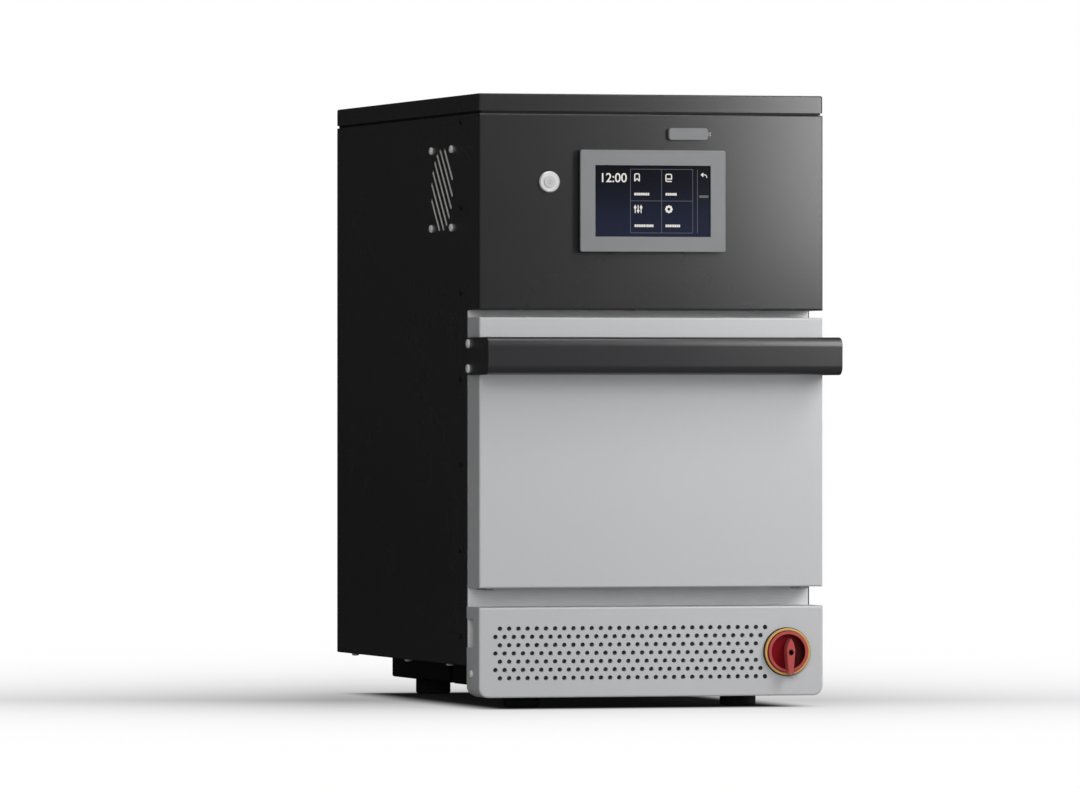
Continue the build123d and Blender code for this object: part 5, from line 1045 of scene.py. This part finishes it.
class OVEN_OT_louvre_fan(Operator):
    """Fits a bare aluminium lip along the rear edge of every slot of the left fan"""

    bl_idname = "oven.louvre_fan"
    bl_label = "Louvre the fan"

    def execute(self, context):
        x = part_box("left_side_panel")[0].x + LIP_DEPTH + 0.1 * MM
        edge = SLOT_WIDTH / 2 - LIP_WIDTH
        lips = []
        for step in range(-SLOTS_EACH_SIDE, SLOTS_EACH_SIDE + 1):
            aside = step * SLOT_PITCH
            chord = 2 * math.sqrt((SLOT_CIRCLE / 2) ** 2 - aside**2)
            lip = upright_plate(0, 0, chord - SLOT_WIDTH - LIP_WIDTH, LIP_WIDTH, 0, LIP_DEPTH)
            lip.rotation_euler = (0, -math.radians(135), -math.pi / 2)
            shift = (edge - aside) / math.sqrt(2)
            lip.location = (x, SLOT_MIDDLE_Y + shift, SLOT_MIDDLE_Z - shift)
            bpy.ops.object.transform_apply()
            lips.append(lip)
        alloy = bright_metal("bare_aluminium", (0.75, 0.74, 0.72), 0.4, metallic=0.2)
        gather("fan_slot_lips", lips, alloy, "casing")
        return {"FINISHED"}


# Operator: studio


class OVEN_OT_build_studio(Operator):
    """Lays the floor and sets the lights, the background and the camera"""

    bl_idname = "oven.build_studio"
    bl_label = "Build the studio"

    def execute(self, context):
        studio = context.scene.oven_studio
        self.lay_floor(studio)
        self.light(studio)
        self.light_room(context, studio)
        self.place_camera(context, studio)
        context.scene.view_settings.view_transform = "Standard"
        return {"FINISHED"}

    def lay_floor(self, studio):
        """A white floor with painted shadow, soft grey at the oven's sides and dark under it, and
        its own shadows.
        """
        start_clean()
        bpy.ops.mesh.primitive_plane_add(size=2 * studio.floor_reach)
        floor = bpy.context.object
        floor.name = "studio_floor"
        finish = Finish("floor", gloss=0.0)
        # Painted reflection: the floor is near black where it is seen in reflections.
        glossy = finish.ray("Glossy")
        base = finish.blend(glossy, grey(0.45), grey(0.06))
        finish.feed("Base Color", base)
        finish.feed("Roughness", 0.9)
        turned = finish.stretched((1.0, 1.0, 1.0), turn=(0, 0, -studio.turn))
        across, away = finish.split(turned, "X"), finish.split(turned, "Y")
        # Painted shadow at the oven's sides, fading with distance across and away from it.
        side, left_fade, right_fade = 0.26, 0.46, 0.39
        painted_shadow_left = ((across + side) / left_fade).at_most(0.0).exponent() * studio.shade_left
        painted_shadow_right = ((side - across) / right_fade).at_most(0.0).exponent() * studio.shade_right
        rightness = finish.contrast(across, -0.2, 0.2)
        beside = painted_shadow_left * (1.0 - rightness) + painted_shadow_right * rightness
        before, behind = 0.38, 0.62
        reach = finish.contrast(away, -0.02, 0.02, before, behind)
        fading = ((abs(away) / reach) ** 1.25 * -1.0).exponent()
        # Painted shadow under the oven, near black.
        under = self.under_oven(finish, 0.03)
        tone = (1.0 - beside * fading) * (1.0 - under) + under * 0.004
        colour = finish.node("ShaderNodeCombineColor", inputs={0: tone, 1: tone, 2: tone})
        glow = finish.node("ShaderNodeEmission", inputs={"Color": colour, "Strength": 1.0})
        near = self.under_oven(finish, 0.12) * 0.3
        shown = finish.ray("Camera") * (1.0 - near)
        inputs = {0: shown, 1: Wire(finish, finish.shader.outputs[0]), 2: glow}
        mixed = finish.node("ShaderNodeMixShader", inputs=inputs)
        finish.join(mixed, finish.output.inputs["Surface"])
        floor.data.materials.append(finish.material)

    def under_oven(self, finish, blur):
        """1 on the floor under the oven, fading to 0 over twice this blur at its outline."""
        half = Vector((0.172, 0.28))
        middle = Vector((0.0, 0.014))
        aside = abs(finish.along("X") - middle.x)
        behind = abs(finish.along("Y") - middle.y)
        across = finish.contrast(aside, half.x - blur, half.x + blur, 1.0, 0.0)
        return across * finish.contrast(behind, half.y - blur, half.y + blur, 1.0, 0.0)

    def light(self, studio):
        lamps = (
            ("key_light", (0.66, -1.15, 0.8), (0.4, -0.284, 0.72), 0.45, 0.65, studio.key_power),
            ("front_light", (-1.3, -4.3, 1.0), (0.0, -0.284, 0.35), 2.4, 2.4, studio.front_power),
            ("top_light", (0.8, -1.1, 1.5), (0.1, -0.3, 0.4), 0.5, 0.5, studio.top_power),
            ("edge_light", (0.0, -0.4, 2.2), (0.0, -0.4, 0.3), 1.4, 0.3, studio.edge_power),
            ("side_light", (1.6, -0.45, 0.4), (0.19, -0.3, 0.35), 0.3, 0.9, studio.side_power),
        )
        for name, place, aim, width, height, power in lamps:
            start_clean()
            bpy.ops.object.light_add(type="AREA", location=place)
            lamp = bpy.context.object
            lamp.name = name
            lamp.rotation_euler = (Vector(aim) - Vector(place)).to_track_quat("-Z", "Y").to_euler()
            lamp.data.shape = "RECTANGLE"
            lamp.data.size = width
            lamp.data.size_y = height
            lamp.data.energy = power
            lamp.visible_glossy = name != "front_light"

    def light_room(self, context, studio):
        """White where the background shows, dimmer in reflections and darkest at the rear left."""
        world = bpy.data.worlds.new("studio")
        context.scene.world = world
        room = Graph(world)
        towards = room.node("ShaderNodeTexCoord", output="Generated")
        rear_left = {0: towards, 1: (-0.6, 0.8, 0.0)}
        facing = room.node("ShaderNodeVectorMath", {"operation": "DOT_PRODUCT"}, rear_left, "Value")
        darkest = 0.025
        mirrored = room.contrast(facing, -0.1, 0.55, studio.mirrored, darkest)
        shown = room.ray("Camera").at_least(room.ray("Transmission"))
        glossy = room.ray("Glossy") * mirrored
        rest = (1.0 - room.ray("Glossy")) * studio.room
        strength = shown.at_least(glossy + rest)
        light = room.node("ShaderNodeBackground", inputs={"Color": (1, 1, 1), "Strength": strength})
        output = room.tree.nodes.new("ShaderNodeOutputWorld")
        room.join(light, output.inputs["Surface"])

    def place_camera(self, context, studio):
        start_clean()
        bpy.ops.object.camera_add(location=studio.place, rotation=(math.pi / 2, 0, studio.turn))
        camera = bpy.context.object
        camera.name = "studio_camera"
        camera.data.sensor_width = studio.sensor
        camera.data.lens = studio.lens
        camera.data.clip_end = 200.0
        context.scene.camera = camera


# Panel and registration


class OVEN_PT_tools(Panel):
    """Lists the oven's settings and operators"""

    bl_idname = "OVEN_PT_tools"
    bl_label = "Oven"
    bl_space_type = "VIEW_3D"
    bl_region_type = "UI"
    bl_category = "Oven"

    def draw(self, context):
        for group in ("oven_colours", "oven_screen", "oven_button", "oven_studio"):
            box = self.layout.box()
            settings = getattr(context.scene, group)
            for name in settings.__annotations__:
                box.prop(settings, name)
        for operator in OPERATORS:
            self.layout.operator(operator.bl_idname)


OPERATORS = (
    OVEN_OT_finish_casing,
    OVEN_OT_finish_front,
    OVEN_OT_finish_structure,
    OVEN_OT_finish_oven,
    OVEN_OT_finish_controls,
    OVEN_OT_finish_power,
    OVEN_OT_draw_screen,
    OVEN_OT_mark_button,
    OVEN_OT_seal_filter,
    OVEN_OT_louvre_fan,
    OVEN_OT_build_studio,
)
GROUPS = {
    "oven_colours": OvenColours,
    "oven_screen": OvenScreen,
    "oven_button": OvenButton,
    "oven_studio": OvenStudio,
}


def register():
    for name, group in GROUPS.items():
        bpy.utils.register_class(group)
        setattr(bpy.types.Scene, name, PointerProperty(type=group))
    for made in (*OPERATORS, OVEN_PT_tools):
        bpy.utils.register_class(made)


def unregister():
    for made in (OVEN_PT_tools, *OPERATORS):
        bpy.utils.unregister_class(made)
    for name, group in GROUPS.items():
        delattr(bpy.types.Scene, name)
        bpy.utils.unregister_class(group)


def main():
    register()
    for operator in OPERATORS:
        getattr(bpy.ops.oven, operator.bl_idname.removeprefix("oven."))()
    bare = sorted(set(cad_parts) - dressed)
    if bare:
        raise RuntimeError(f"nodes without a finish: {bare}")


if __name__ == "__main__":
    main()
